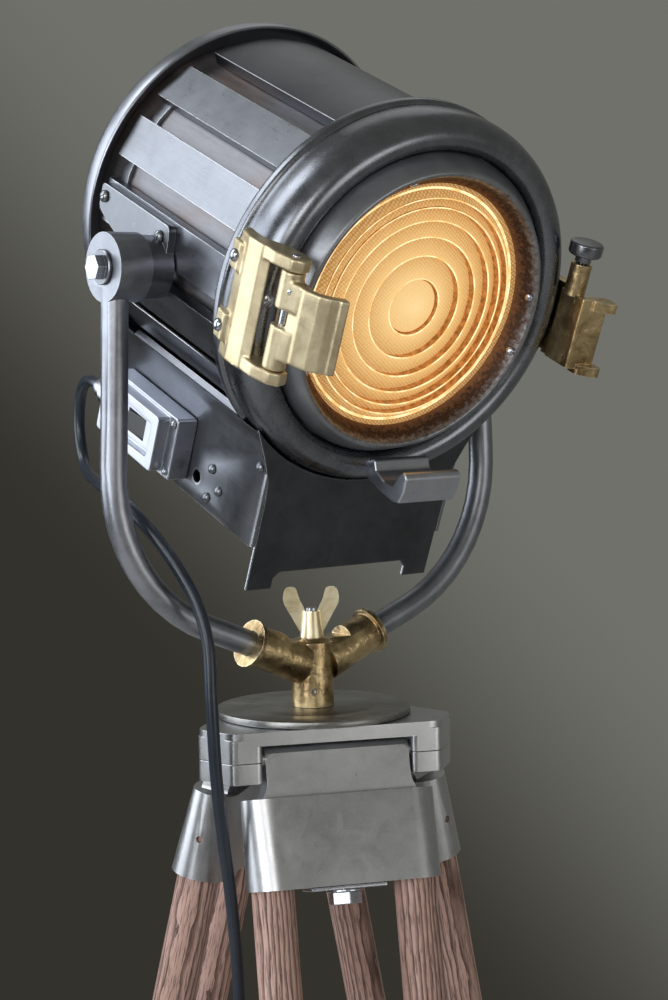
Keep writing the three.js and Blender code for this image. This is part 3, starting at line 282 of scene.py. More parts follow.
def cast_metal(name, low, high, rough=0.36, lump=0.0003, worn=0.35, edge=(0.95, 0.9, 0.75), fine=0.00012):
    """Sand-cast metal: soft lumps, small pits and a skin rubbed lighter at the edges, partly wear and partly a
    painted highlight.
    """
    finish = Finish(name, Metallic=1.0)
    plain = finish.place()
    lumps = finish.noise(plain, 90, 3, 0.5)
    sand = finish.noise(plain, 900, 2, 0.5)
    clouds = finish.between(finish.noise(plain, 38, 5, 0.65, 0.5), 0.34, 0.66)
    pits = finish.between(finish.cells(plain, 260), 0.0, 0.13, 1.0, 0.0)
    stained = finish.mix(clouds, low, high)
    pitted = finish.mix(pits * 0.3, stained, grey(0.35, low))
    # Edges painted lighter: partly rubbed wear, partly a painted highlight.
    rim = finish.edge_wear_and_highlight(0.0016, worn)
    roughness = rough - 0.1 + clouds * 0.08 + sand * 0.16
    height = lumps + sand * (fine / lump) - pits * 0.25
    return finish.drive(
        Base_Color=finish.mix(rim, pitted, edge), Roughness=roughness, Normal=finish.bump(height, lump)
    ).material


def spun_metal():
    """The round plate: fine turning rings, stains and scratches."""
    finish = Finish("spun_steel", Metallic=1.0)
    flat = finish.place(TRIPOD_AXIS, stretch=(1, 1, 1000))
    plain = finish.place()
    radius = finish.add("ShaderNodeVectorMath", {"operation": "LENGTH"}, {0: flat}, "Value")
    rings = finish.noise(finish.add("ShaderNodeCombineXYZ", {}, {"X": radius}), 2600, 3)
    stains = finish.between(finish.noise(plain, 30, 6, 0.7, 0.8), 0.3, 0.7)
    spots = finish.between(finish.noise(plain, 140, 3, 0.6, 1.0), 0.6, 0.72)
    brushed = finish.place(turn=(0, 0, 0.6), stretch=(1, 18, 1))
    scratches = finish.between(finish.noise(brushed, 260, 2), 0.6, 0.7)
    base = finish.mix(stains, (0.20, 0.195, 0.185), (0.40, 0.395, 0.38))
    scratched = finish.mix(scratches * 0.35, base, (0.6, 0.6, 0.6))
    spotted = finish.mix(spots * 0.5, scratched, (0.12, 0.11, 0.10))
    # Edges painted lighter: partly rubbed wear, partly a painted highlight.
    rim = finish.edge_wear_and_highlight(0.0015, 0.8)
    coloured = finish.mix(rim, spotted, (0.75, 0.75, 0.74))
    roughness = 0.26 + stains * 0.14 + rings * 0.12 - rim * 0.08
    return finish.drive(
        Base_Color=coloured, Roughness=roughness, Normal=finish.bump(rings * 0.5 + spots, 0.00004)
    ).material


def wood(leg):
    """Wire-brushed hardwood with dark open grain along the leg."""
    finish = Finish(f"wood_{leg + 1}", Metallic=0.0)
    turn = leg_place(leg).to_euler()
    origin = leg_place(leg).translation
    along = finish.place(origin, turn, (1, 1, 14))
    figure = finish.place(origin, turn, (1, 1, 5))
    wander = finish.noise(figure, 30, 3, 0.5)
    waves = finish.add(
        "ShaderNodeTexWave",
        {"bands_direction": "X", "wave_profile": "SAW"},
        {
            "Vector": figure, "Scale": 78, "Distortion": 5.0, "Detail": 3, "Detail Scale": 1.2,
            "Phase Offset": leg * 2.0,
        },
    )
    pores = finish.between(finish.noise(along, 900, 3, 0.6), 0.52, 0.66)
    dark = finish.between(waves, 0.45, 0.95)
    base = finish.mix(wander, (0.40, 0.225, 0.18), (0.78, 0.52, 0.44))
    streaked = finish.mix(dark * 0.88, base, (0.075, 0.035, 0.026))
    grained = finish.mix(pores * 0.65, streaked, (0.05, 0.025, 0.019))
    roughness = 0.46 + dark * 0.14 + pores * 0.15
    height = 1 - dark * 0.6 - pores * 0.5
    return finish.drive(
        Base_Color=grained, Roughness=roughness, Normal=finish.bump(height, 0.0006)
    ).material


def rubber(name, level, tint, rough):
    """Dark rubber with a dusty skin."""
    finish = Finish(name, Metallic=0.0, Specular_IOR_Level=0.55)
    plain = finish.place()
    clouds = finish.noise(plain, 40, 4)
    skin = finish.noise(plain, 1500, 2)
    dust = finish.between(finish.noise(plain, 90, 5, 0.7), 0.55, 0.75)
    base = finish.mix(clouds, grey(level * 0.7, tint), grey(level * 1.4, tint))
    dusty = finish.mix(dust * 0.25, base, grey(level * 5, tint))
    roughness = rough + clouds * 0.1 + skin * 0.1
    return finish.drive(
        Base_Color=dusty, Roughness=roughness, Normal=finish.bump(skin, 0.00003)
    ).material


def lens_glass():
    """Pressed amber glass lit from behind, finely celled. Each ring has painted shade, darker towards its outer
    edge, to show the step's relief.
    """
    finish = Finish("amber_glass", Metallic=0.0, Roughness=0.16, IOR=1.5)
    face = finish.place(LAMP_AXIS.translation, (TILT, 0, 0), (1, 1000, 1))
    radius = finish.add("ShaderNodeVectorMath", {"operation": "LENGTH"}, {0: face}, "Value")
    cells = finish.cells(finish.place(LAMP_AXIS.translation, (TILT, 0.7, 0), (1, 1000, 1)), 430, 0.15)
    dots = finish.between(cells, 0.12, 0.55, 1.0, 0.0)
    cloud = finish.noise(face, 26, 3)
    glow = finish.ramp(
        radius * 10 + (cloud - 0.5) * 0.3,
        (0.0, (1.0, 0.72, 0.34)),
        (0.35, (0.92, 0.58, 0.22)),
        (0.75, (0.72, 0.40, 0.125)),
        (1.0, (0.42, 0.20, 0.05)),
    )
    # Painted shade: each ring starts full bright at its inner edge and darkens towards its outer edge.
    stops = [(0.0, (1, 1, 1)), (LENS_STEPS[0] / LENS_RADIUS - 0.004, (0.86, 0.84, 0.8))]
    for inner, outer in zip(LENS_STEPS, LENS_STEPS[1:]):
        stops += [(inner / LENS_RADIUS, (1, 1, 1)), (outer / LENS_RADIUS - 0.004, (0.62, 0.56, 0.46))]
    painted_ring_shade = finish.ramp(radius * (1 / (LENS_RADIUS * MM)), *stops)
    glow_with_ring_shade = finish.mix(1.0, glow, painted_ring_shade, "MULTIPLY")
    lit = finish.mix(dots * 0.45, glow_with_ring_shade, (1.0, 0.76, 0.40))
    finish.shader.inputs["Base Color"].default_value = (0.30, 0.15, 0.04, 1)
    finish.shader.inputs["Emission Strength"].default_value = 0.92
    return finish.drive(Emission_Color=lit, Normal=finish.bump(dots, 0.0005, 0.8)).material


def lens_rim_highlights():
    """Painted highlight: the bright glowing rim at the top of each lens step."""
    finish = Finish("amber_painted_rim_highlights", Metallic=0.0, Roughness=0.12, Emission_Strength=1.0)
    breaks = finish.noise(finish.place(), 90, 3)
    tone = finish.ramp(breaks, (0.38, (0.80, 0.46, 0.15)), (0.6, (1.0, 0.80, 0.45)))
    return finish.drive(Base_Color=tone, Emission_Color=tone).material


def lens_shaded_risers():
    """Painted shade: the upright wall of each lens step glows dark, as if in shadow."""
    finish = Finish("amber_painted_shade_risers", Metallic=0.0, Roughness=0.3, Emission_Strength=0.7)
    streaks = finish.noise(finish.place(), 240, 3)
    tone = finish.ramp(streaks, (0.35, (0.22, 0.075, 0.014)), (0.65, (0.46, 0.19, 0.05)))
    return finish.drive(Base_Color=tone, Emission_Color=tone).material


def singed_paint():
    """The bezel: black paint worn to grey outside, chipped and baked brown towards the lens, and a copper band at
    the lens edge that is flaked paint with a painted glow of the lens's light.
    """
    finish = Finish("singed_paint", Metallic=0.8)
    face = finish.place(LAMP_AXIS.translation, (TILT, 0, 0), (1, 1000, 1))
    plain = finish.place()
    radius = finish.add("ShaderNodeVectorMath", {"operation": "LENGTH"}, {0: face}, "Value")
    ragged = finish.noise(plain, 260, 4, 0.7)
    near = finish.between(radius + (ragged - 0.5) * 0.012, 0.1095, 0.1050)
    # Copper band at the lens edge: flaked paint, and a painted glow of the lens's light on the bezel.
    edge = finish.between(radius + (ragged - 0.5) * 0.016, 0.1035, 0.0995)
    clouds = finish.noise(plain, 34, 4, 0.6)
    worn = finish.mix(clouds, (0.16, 0.165, 0.18), (0.42, 0.43, 0.46))
    baked = finish.mix(near, worn, (0.075, 0.038, 0.022))
    flaked_with_painted_glow = finish.mix(edge * 0.8, baked, (0.34, 0.15, 0.06))
    chips = finish.between(finish.noise(plain, 420, 3, 0.7), 0.66, 0.70)
    # Edges painted lighter: partly worn paint, partly a painted highlight.
    rim = finish.edge_wear_and_highlight(0.001, 0.5)
    coloured = finish.mix(rim * 0.6 + chips * 0.4, flaked_with_painted_glow, (0.5, 0.47, 0.44))
    return finish.drive(
        Base_Color=coloured, Roughness=0.27 + clouds * 0.1 + near * 0.2 + ragged * 0.06,
        Normal=finish.bump(ragged - chips, 0.00012)
    ).material


def drum_steel():
    """Heat-browned sheet with faint marks along the drum."""
    finish = Finish("browned_drum", Metallic=0.85)
    brushed = finish.place(TRUNNION, (TILT, 0, 0), (1, 9, 1))
    plain = finish.place()
    marks = finish.noise(brushed, 220, 5, 0.7, 0.4)
    heat = finish.between(finish.noise(plain, 9, 3), 0.42, 0.62)
    cool = finish.mix(marks, (0.13, 0.13, 0.14), (0.38, 0.38, 0.41))
    warm = finish.mix(marks, (0.12, 0.07, 0.05), (0.36, 0.24, 0.19))
    return finish.drive(
        Base_Color=finish.mix(heat * 0.7, cool, warm), Roughness=0.38 + marks * 0.2,
        Normal=finish.bump(marks, 0.0001)
    ).material


def moulded(name, colour, rough=0.3):
    """Moulded plastic or ceramic, slightly clouded."""
    finish = Finish(name, Metallic=0.0)
    plain = finish.place()
    clouds = finish.noise(plain, 60, 3)
    tone = finish.mix(clouds, grey(0.75, colour), grey(1.2, colour))
    skin = finish.noise(plain, 1200, 2)
    return finish.drive(
        Base_Color=tone, Roughness=rough + clouds * 0.12, Normal=finish.bump(skin, 0.00002)
    ).material


def floor_paint():
    finish = Finish("pale_floor", Metallic=0.0, Roughness=0.7)
    tone = finish.mix(finish.noise(finish.place(), 3, 4), (0.50, 0.49, 0.465), (0.55, 0.54, 0.515))
    return finish.drive(Base_Color=tone).material


ALONG_LAMP = {"grain": (1, 26, 1), "turn": (TILT, 0, 0)}
COOL = (0.93, 0.97, 1.08)
finishes = {
    "strip_steel": metal("strip_steel", 0.26, COOL, 0.31, 0.34, worn=1.0, edge=0.95, **ALONG_LAMP),
    "cover_steel": metal("cover_steel", 0.15, COOL, 0.36, 0.35, worn=1.0, edge=0.8, grain=(26, 1, 1)),
    "ring_steel": metal("ring_steel", 0.24, COOL, 0.27, 0.4, worn=0.7, edge=0.75, scratch=0.25),
    "rim_steel": metal("rim_steel", 0.36, COOL, 0.34, 0.3, worn=0.7, edge=0.8),
    "box_steel": metal("box_steel", 0.25, COOL, 0.34, 0.38, worn=1.0, edge=0.95, **ALONG_LAMP),
    "plate_steel": metal("plate_steel", 0.10, COOL, 0.36, 0.4, worn=1.0, edge=0.9, scratch=0.2),
    "bracket_steel": metal("bracket_steel", 0.22, COOL, 0.33, 0.35, worn=1.0, edge=0.9),
    "pale_casting": metal("pale_casting", 0.50, COOL, 0.33, 0.3, worn=1.0, edge=0.95, pits=0.00012),
    "hub_steel": metal("hub_steel", 0.25, COOL, 0.34, 0.45, worn=0.8, edge=0.8),
    "tube_steel": metal(
        "tube_steel", 0.38, COOL, 0.37, 0.40, worn=0.3, edge=0.8, grain=(1, 1, 2), pits=0.00012, scratch=0.2
    ),
    # Wing-nut brass: polished brass with painted light on top, made paler and brighter than the other brass
    # because its wings face the light.
    "bright_brass": cast_metal(
        "bright_brass", (0.86, 0.72, 0.44), (1.0, 0.91, 0.68), 0.34, 0.0002, worn=0.4, edge=(1.0, 0.95, 0.8)
    ),
    "bolt_steel": metal("bolt_steel", 0.50, COOL, 0.26, 0.35, worn=0.8, edge=0.95),
    "cast_aluminium": metal(
        "cast_aluminium", 0.50, (0.98, 0.99, 1.02), 0.34, 0.26, worn=0.6, edge=0.85, pits=0.00008
    ),
    "dark_base": metal("dark_base", 0.12, rough=0.45, blotch=0.4, worn=0.4),
    "pale_brass": cast_metal(
        "pale_brass", (0.58, 0.47, 0.29), (0.82, 0.71, 0.48), 0.42, 0.0003, worn=0.7, edge=(1.0, 0.93, 0.74)
    ),
    "brown_brass": cast_metal(
        "brown_brass", (0.22, 0.135, 0.06), (0.80, 0.62, 0.34), 0.30, 0.0012, worn=0.9, edge=(1.0, 0.90, 0.68)
    ),
    "lead_rubber": rubber("lead_rubber", 0.024, (0.7, 0.98, 1.5), 0.22),
    "foot_rubber": rubber("foot_rubber", 0.02, (1, 1, 1), 0.55),
    "spun_steel": spun_metal(),
    "amber_glass": lens_glass(),
    "amber_painted_rim_highlights": lens_rim_highlights(),
    "amber_painted_shade_risers": lens_shaded_risers(),
    "singed_paint": singed_paint(),
    "browned_drum": drum_steel(),
    "black_plastic": moulded("black_plastic", (0.03, 0.03, 0.03)),
    "steatite": moulded("steatite", (0.62, 0.59, 0.52), 0.45),
    "polished_reflector": metal("polished_reflector", 0.85, rough=0.12, blotch=0.05, scratch=0.1, worn=0),
    "floor": floor_paint(),
}
woods = [wood(leg) for leg in range(3)]


# ---------------------------------------------------------------- modelling tools

def let_go():
    bpy.ops.object.select_all(action="DESELECT")


def hold(piece):
    let_go()
    piece.select_set(True)
    bpy.context.view_layer.objects.active = piece


def pick_all():
    bpy.ops.mesh.select_all(action="SELECT")


def face_out():
    bpy.ops.mesh.normals_make_consistent(inside=False)


def in_edit(piece, *steps):
    """Runs edit-mode steps on a piece, everything selected first."""
    hold(piece)
    bpy.ops.object.mode_set(mode="EDIT")
    pick_all()
    for step in steps:
        step()
    bpy.ops.object.mode_set(mode="OBJECT")


def named(name):
    piece = bpy.context.object
    piece.name = name
    piece.data.name = name
    return piece


def modify(piece, kind, **settings):
    hold(piece)
    modifier = piece.modifiers.new(kind.lower(), kind)
    for setting, value in settings.items():
        setattr(modifier, setting, value)
    bpy.ops.object.modifier_apply(modifier=modifier.name)


def put(piece, place):
    """Moves a piece made at the origin to its place, and settles the move into its mesh."""
    hold(piece)
    piece.matrix_world = place @ piece.matrix_world
    bpy.ops.object.transform_apply(location=True, rotation=True, scale=True)


def smooth(piece, angle=38):
    hold(piece)
    bpy.ops.object.shade_smooth_by_angle(angle=math.radians(angle))


def ease(piece, width, angle=38, segments=2):
    """Rounds a piece's sharp edges, with smooth shading between them."""
    modify(
        piece, "BEVEL", width=width, segments=segments, limit_method="ANGLE",
        angle_limit=math.radians(angle), use_clamp_overlap=True,
    )
    smooth(piece, angle)
    modify(piece, "WEIGHTED_NORMAL", keep_sharp=True)


def join_up(name, pieces):
    hold(pieces[0])
    for piece in pieces[1:]:
        piece.select_set(True)
    bpy.ops.object.join()
    return named(name)


def done(piece, body, finish, replaces=(), slot=None):
    """Gives a piece its finish and the body that it moves with."""
    if finish is not None:
        piece.data.materials.clear()
        piece.data.materials.append(finish if isinstance(finish, bpy.types.Material) else finishes[finish])
    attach(piece, body)
    if replaces:
        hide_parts(*replaces)
        slot = slot or slot_of[replaces[0]]
    return piece


def dressed(node, finish, width=0.6, angle=38, segments=2):
    """A CAD node with its edges eased and its round faces smooth, in its own finish."""
    mesh = frame["nodes"][node].data.copy()
    piece = bpy.data.objects.new(f"{node}_dressed", mesh)
    bpy.context.scene.collection.objects.link(piece)
    in_edit(
        piece,
        lambda: bpy.ops.mesh.remove_doubles(threshold=0.00002),
        lambda: bpy.ops.mesh.dissolve_limited(angle_limit=math.radians(0.4)),
    )
    if width:
        ease(piece, width * MM, angle, segments)
    else:
        smooth(piece, angle)
    return done(piece, body_of[node], finish, [node])


def turned(name, outline, place, steps=144):
    """Spins a closed outline of (radius, height) in millimetres about Z."""
    bpy.ops.mesh.primitive_circle_add(vertices=len(outline), radius=0.1)
    piece = named(name)
    for vertex, (radius, height) in zip(piece.data.vertices, outline):
        vertex.co = (radius * MM, 0, height * MM)
    in_edit(
        piece,
        lambda: bpy.ops.mesh.spin(steps=steps, angle=2 * math.pi, center=(0, 0, 0), axis=(0, 0, 1)),
        pick_all,
        lambda: bpy.ops.mesh.remove_doubles(threshold=0.000005),
        face_out,
    )
    put(piece, place)
    return piece


def copied(piece, name, place):
    twin = bpy.data.objects.new(name, piece.data.copy())
    bpy.context.scene.collection.objects.link(twin)
    put(twin, place)
    return twin


def dome_screw(radius, height, slot=True):
    """A domed screw head on the XY plane, facing up, with a cut slot."""
    bpy.ops.mesh.primitive_uv_sphere_add(segments=28, ring_count=14, radius=radius * MM)
    piece = named("dome_screw")
    in_edit(
        piece,
        lambda: bpy.ops.mesh.bisect(plane_co=(0, 0, 0), plane_no=(0, 0, 1), clear_inner=True, use_fill=True),
        pick_all,
        lambda: bpy.ops.transform.resize(value=(1, 1, height / radius)),
    )
    if slot:
        bpy.ops.mesh.primitive_cube_add(size=1)
        cutter = named("slot_cutter")
        cutter.scale = (radius * 3 * MM, radius * 0.26 * MM, height * 0.8 * MM)
        cutter.location.z = height * MM
        modify(piece, "BOOLEAN", object=cutter, operation="DIFFERENCE", solver="EXACT")
        bpy.data.objects.remove(cutter)
    smooth(piece, 30)
    return piece


def facing(point, normal, spin=0.0):
    """A place at a point, with Z along the normal."""
    turn = Vector(normal).to_track_quat("Z", "Y").to_matrix().to_4x4()
    return Matrix.Translation(Vector(point) * MM) @ turn @ Matrix.Rotation(spin, 4, "Z")


def screws(name, body, frame_place, head, places, finish="bolt_steel"):
    """Copies one screw head to each (point, normal, turn), in a part's own directions, as one piece."""
    heads = [
        copied(head, f"{name}_{i}", frame_place @ facing(point, normal, spin))
        for i, (point, normal, spin) in enumerate(places)
    ]
    bpy.data.objects.remove(head)
    return done(join_up(name, heads), body, finish, slot="plain_steel")


def prism(name, corners, push):
    """A flat outline of corners pushed into a solid, in millimetres and a part's own directions."""
    bpy.ops.mesh.primitive_circle_add(vertices=len(corners), radius=0.1, fill_type="NGON")
    piece = named(name)
    for vertex, corner in zip(piece.data.vertices, corners):
        vertex.co = [part * MM for part in corner]
    travel = [part * MM for part in push]
    in_edit(
        piece,
        lambda: bpy.ops.mesh.extrude_region_move(TRANSFORM_OT_translate={"value": travel}),
        pick_all,
        face_out,
    )
    return piece


def slab(name, outline, low, high):
    """An upright prism from low to high, with (across, ahead) corners."""
    return prism(name, [(across, -ahead, low) for across, ahead in outline], (0, 0, high - low))


def beam(name, outline, rear, front):
    """A prism along the lamp from rear to front, with (across, up) corners."""
    return prism(name, [(across, -rear, up) for across, up in outline], (0, rear - front, 0))


def beam_across(name, outline, low, high):
    """A prism across the lamp from low to high, with (ahead, up) corners."""
    return prism(name, [(low, -ahead, up) for ahead, up in outline], (high - low, 0, 0))


def post(name, across, ahead, radius, low, high):
    """An upright round post from low to high."""
    bpy.ops.mesh.primitive_cylinder_add(
        vertices=40, radius=radius * MM, depth=(high - low) * MM,
        location=(across * MM, -ahead * MM, (low + high) / 2 * MM),
    )
    bpy.ops.object.transform_apply(location=True, rotation=False, scale=False)
    return named(name)


def cast(name, lumps, grain=0.85, softness=9):
    """Runs lumps together into one sand casting with soft inside corners."""
    piece = join_up(name, lumps)
    modify(piece, "REMESH", mode="VOXEL", voxel_size=grain * MM)
    modify(piece, "SMOOTH", factor=0.6, iterations=softness)
    hold(piece)
    bpy.ops.object.shade_smooth()
    return piece


# ---------------------------------------------------------------- mains lead

LEAD = 0.005
GAP = 0.0003
COIL_AT = (-0.175, -0.0835)
COIL_RADIUS = 0.0575
COIL_TURNS = 4.25
PLUG_RADIUS = 0.019
PLUG_AWAY = 0.092
CUT_AT = 12  # the point beside the left arm where the upper lead meets the lower one


def lead_points():
    hanging = [
        (-104.8, 132.2, 255.2), (-104.8, 145.6, 260.8), (-104.8, 158, 266), (-101, 180, 268),
        (-93, 206, 256), (-90, 216, 228), (-93, 205, 200), (-104, 176, 188), (-120, 140, 187),
        (-135, 108, 186), (-146, 80, 184), (-153, 55, 181), (-156, 32, 175), (-154, 12, 163),
        (-146, -3, 146), (-136, -16, 123), (-129, -29, 98), (-126, -39, 68), (-126, -42, 24),
        (-121, -39, -40), (-115, -36, -82), (-106, -33, -139), (-97, -28, -223), (-98, -26, -400),
        (-106, -26, -600), (-118, -26, -850),
    ]
    points = [Vector((x, y, z)) * MM + Vector((0, 0, DISC_TOP)) for x, y, z in hanging]
    rest = LEAD + GAP
    pitch = 2 * rest
    entry = 0.05
    coil_top = rest + COIL_TURNS * pitch
    for angle in (0, 30, 60):
        swing = math.radians(angle)
        points.append(Vector((
            COIL_AT[0] + entry * math.cos(swing),
            COIL_AT[1] + COIL_RADIUS,
            coil_top + entry * (1 - math.sin(swing)),
        )))
    per_turn = 16
    for i in range(int(COIL_TURNS * per_turn) + 1):
        angle = math.pi / 2 + 2 * math.pi * i / per_turn
        points.append(Vector((
            COIL_AT[0] + COIL_RADIUS * math.cos(angle),
            COIL_AT[1] + COIL_RADIUS * math.sin(angle),
            coil_top - pitch * i / per_turn,
        )))
    for away, rise in ((26, 1), (46, 6), (64, 12), (84, 14)):
        points.append(Vector((COIL_AT[0] - COIL_RADIUS, COIL_AT[1] - away * MM, rest + rise * MM)))
    return [point + TRIPOD_AXIS for point in points]


def between_times(time, first, second, start, end):
    return first.lerp(second, (time - start) / (end - start))


def eased_line(points, per_span):
    """The smooth line through the points, with extra points between each two."""
    ends = [2 * points[0] - points[1], *points, 2 * points[-1] - points[-2]]
    line = []
    for i in range(1, len(ends) - 2):
        around = ends[i - 1:i + 3]
        times = [0.0]
        for before, after in zip(around, around[1:]):
            times.append(times[-1] + (after - before).length ** 0.5)
        for step in range(per_span):
            time = times[1] + (times[2] - times[1]) * step / per_span
            spans = [between_times(time, around[k], around[k + 1], times[k], times[k + 1]) for k in range(3)]
            bends = [between_times(time, spans[k], spans[k + 1], times[k], times[k + 2]) for k in range(2)]
            line.append(between_times(time, *bends, times[1], times[2]))
    return line + [points[-1]]


def lead_tube(name, line):
    data = bpy.data.curves.new(name, "CURVE")
    data.dimensions = "3D"
    data.bevel_depth = LEAD
    data.bevel_resolution = 5
    data.use_fill_caps = True
    spline = data.splines.new("POLY")
    spline.points.add(len(line) - 1)
    for point, place in zip(spline.points, line):
        point.co = (*place, 1)
        point.radius = 1
    piece = bpy.data.objects.new(name, data)
    bpy.context.scene.collection.objects.link(piece)
    hold(piece)
    bpy.ops.object.convert(target="MESH")
    piece = named(name)
    smooth(piece, 50)
    return piece


def line_length(line):
    return sum((after - before).length for before, after in zip(line, line[1:]))


def make_lead():
    points = lead_points()
    upper_line = eased_line(points[:CUT_AT + 2], 6)[:CUT_AT * 6 + 1]
    lower_line = eased_line(points[CUT_AT - 1:], 6)[6:]
    upper = lead_tube("lead_upper", upper_line)
    lower = lead_tube("lead_lower", lower_line)
    for piece in (upper, lower):
        piece.data.materials.append(finishes["lead_rubber"])
    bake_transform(upper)
    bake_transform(lower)
    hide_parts("mains_lead")
    plug = dressed("plug", "lead_rubber", 0.8)
    line_length(upper_line)
    line_length(lower_line)


# ---------------------------------------------------------------- tripod

def make_tripod_head():
    dressed("crown", "cast_aluminium", 1.2)
    for cap in (1, 2, 3):
        dressed(f"bearing_cap_{cap}", "cast_aluminium", 1.2)
    place = Matrix.Translation(TRIPOD_AXIS + Vector((0, 0, CROWN_TOP)))
    disc = turned("round_plate", [
        (8.5, 0.3), (78.6, 0.3), (79.6, 0.7), (80, 1.6), (80, 4.9), (79.6, 5.8), (78.6, 6.3),
        (52, 6.3), (51.6, 6.15), (51.2, 6.3), (8.5, 6.3),
    ], place)
    smooth(disc)
    done(disc, "tripod", "spun_steel", ["turntable_disc"])
    dressed("centre_bolt", "bolt_steel", 0.5)


def keeper_bolt(leg):
    """The plate, washer and hex bolt that hold the rods from below."""
    bpy.ops.mesh.primitive_cube_add(size=1)
    plate = named("keeper")
    plate.scale = (0.062, 0.03, 0.003)
    bpy.ops.object.transform_apply(location=False, rotation=False, scale=True)
    ease(plate, 0.0008)
    plate.location.z = -0.0018
    bpy.ops.mesh.primitive_cylinder_add(vertices=40, radius=0.0145, depth=0.002, location=(0, 0, -0.0045))
    washer = named("washer")
    ease(washer, 0.0005)
    bpy.ops.mesh.primitive_cylinder_add(vertices=6, radius=0.0138, depth=0.0095, location=(0, 0, -0.0104))
    bolt = named("bolt")
    ease(bolt, 0.0008)
    piece = join_up(f"keeper_bolt_{leg + 1}", [plate, washer, bolt])
    bpy.ops.object.transform_apply(location=True, rotation=True, scale=True)
    put(piece, leg_place(leg) @ Matrix.Translation((0, 0, -0.1023)))
    done(piece, f"leg_{leg + 1}", "bolt_steel", slot="plain_steel")


def make_leg(leg):
    number = leg + 1
    dressed(f"hip_casting_{number}", "cast_aluminium", 1.8, segments=3)
    keeper_bolt(leg)
    for hand in ("left", "right"):
        dressed(f"rod_{hand}_{number}", woods[leg], 0)
    dressed(f"leg_clamp_{number}", "cast_aluminium", 1.8, segments=3)
    dressed(f"lock_knob_{number}", "black_plastic", 1.0)
    dressed(f"lower_spar_{number}", woods[leg], 1.0)
    dressed(f"rubber_foot_{number}", "foot_rubber", 1.2)


# ---------------------------------------------------------------- yoke

def hub_face(hand):
    """The dark turned face and thick washer on a hub's end."""
    side = -1 if hand == "left" else 1
    piece = turned(f"hub_washer_{hand}", [
        (8.2, 0.35), (13.2, 0.35), (13.6, 0.8), (13.6, 2.4), (13.0, 3.0), (8.2, 3.0),
    ], Matrix.Translation(TRUNNION + Vector((side * HUB_FACE * MM, 0, 0)))
        @ Matrix.Rotation(side * math.pi / 2, 4, "Y"), 64)
    smooth(piece)
    done(piece, "yoke", "hub_steel", slot="plain_steel")


def make_yoke():
    dressed("yoke_tee", "brown_brass", 1.0)
    dressed("wing_nut", "bright_brass", 1.0, segments=3)
    for hand in ("left", "right"):
        dressed(f"yoke_arm_{hand}", "tube_steel", 0.8, 34)
        dressed(f"pivot_bolt_{hand}", "bolt_steel", 0.7)
        hub_face(hand)


# ---------------------------------------------------------------- lamp head

def make_housing():
    drum = turned("drum", [(128, -118.6), (128, 129.6), (125.5, 129.6), (125.5, -118.6)], LAMP_AXIS)
    smooth(drum)
    done(drum, "lamp_head", "browned_drum", ["inner_drum"])
    for hand in ("left", "right"):
        dressed(f"jacket_strips_{hand}", "strip_steel", 0.7)
    dressed("top_cover", "cover_steel", 0.7)
    cap = turned("rear_rim", [
        (0, -127), (52, -127), (55, -126.2), (59, -122), (62, -121), (139, -121), (141.8, -120.4),
        (144.2, -118.6), (145.8, -115.5),
        (147.2, -112), (147.2, -102), (147, -100.8), (146.3, -100.1), (145.4, -100.2),
        (144.2, -101.4), (143.6, -111), (142.2, -115.4), (139.5, -118), (137.5, -118.8), (62, -119),
        (58, -119.6), (54, -124), (52, -125), (0, -125),
    ], LAMP_AXIS)
    smooth(cap)
    done(cap, "lamp_head", "rim_steel", ["rear_cap"])
    ring = turned("front_ring_turned", [
        (141.3, 98), (148.4, 98), (149.4, 98.2), (150.1, 98.9), (150.3, 100), (150.3, 104), (150, 105.2),
        (149, 106.2), (147.6, 107.2), (147.5, 109), (148.2, 114), (149.1, 121), (149.1, 126), (148.6, 131),
        (147, 137), (144.3, 142.2), (141, 145.8), (137, 147.8), (132.5, 148.5), (128.5, 147.6), (125, 145),
        (122.8, 141.5), (121.8, 137.5), (121.8, 133), (112, 133), (112, 130), (141.3, 130),
    ], LAMP_AXIS)
    smooth(ring)
    done(ring, "lamp_head", "ring_steel", ["front_ring"])
    bezel = turned("bezel", [
        (103.5, 133.3), (121.3, 133.3), (121.3, 140), (120.9, 142), (113.2, 155.4), (112.3, 156.9),
        (110.8, 157.9), (109.2, 157.9),
        (107.9, 157.0), (107.3, 155.6), (104.6, 150.2), (101.4, 146.2), (99.6, 145),
        (98.6, 143.9), (98.6, 142.8), (103.5, 142.8),
    ], LAMP_AXIS)
    smooth(bezel)
    done(bezel, "lamp_head", "singed_paint", ["lens_bezel"])


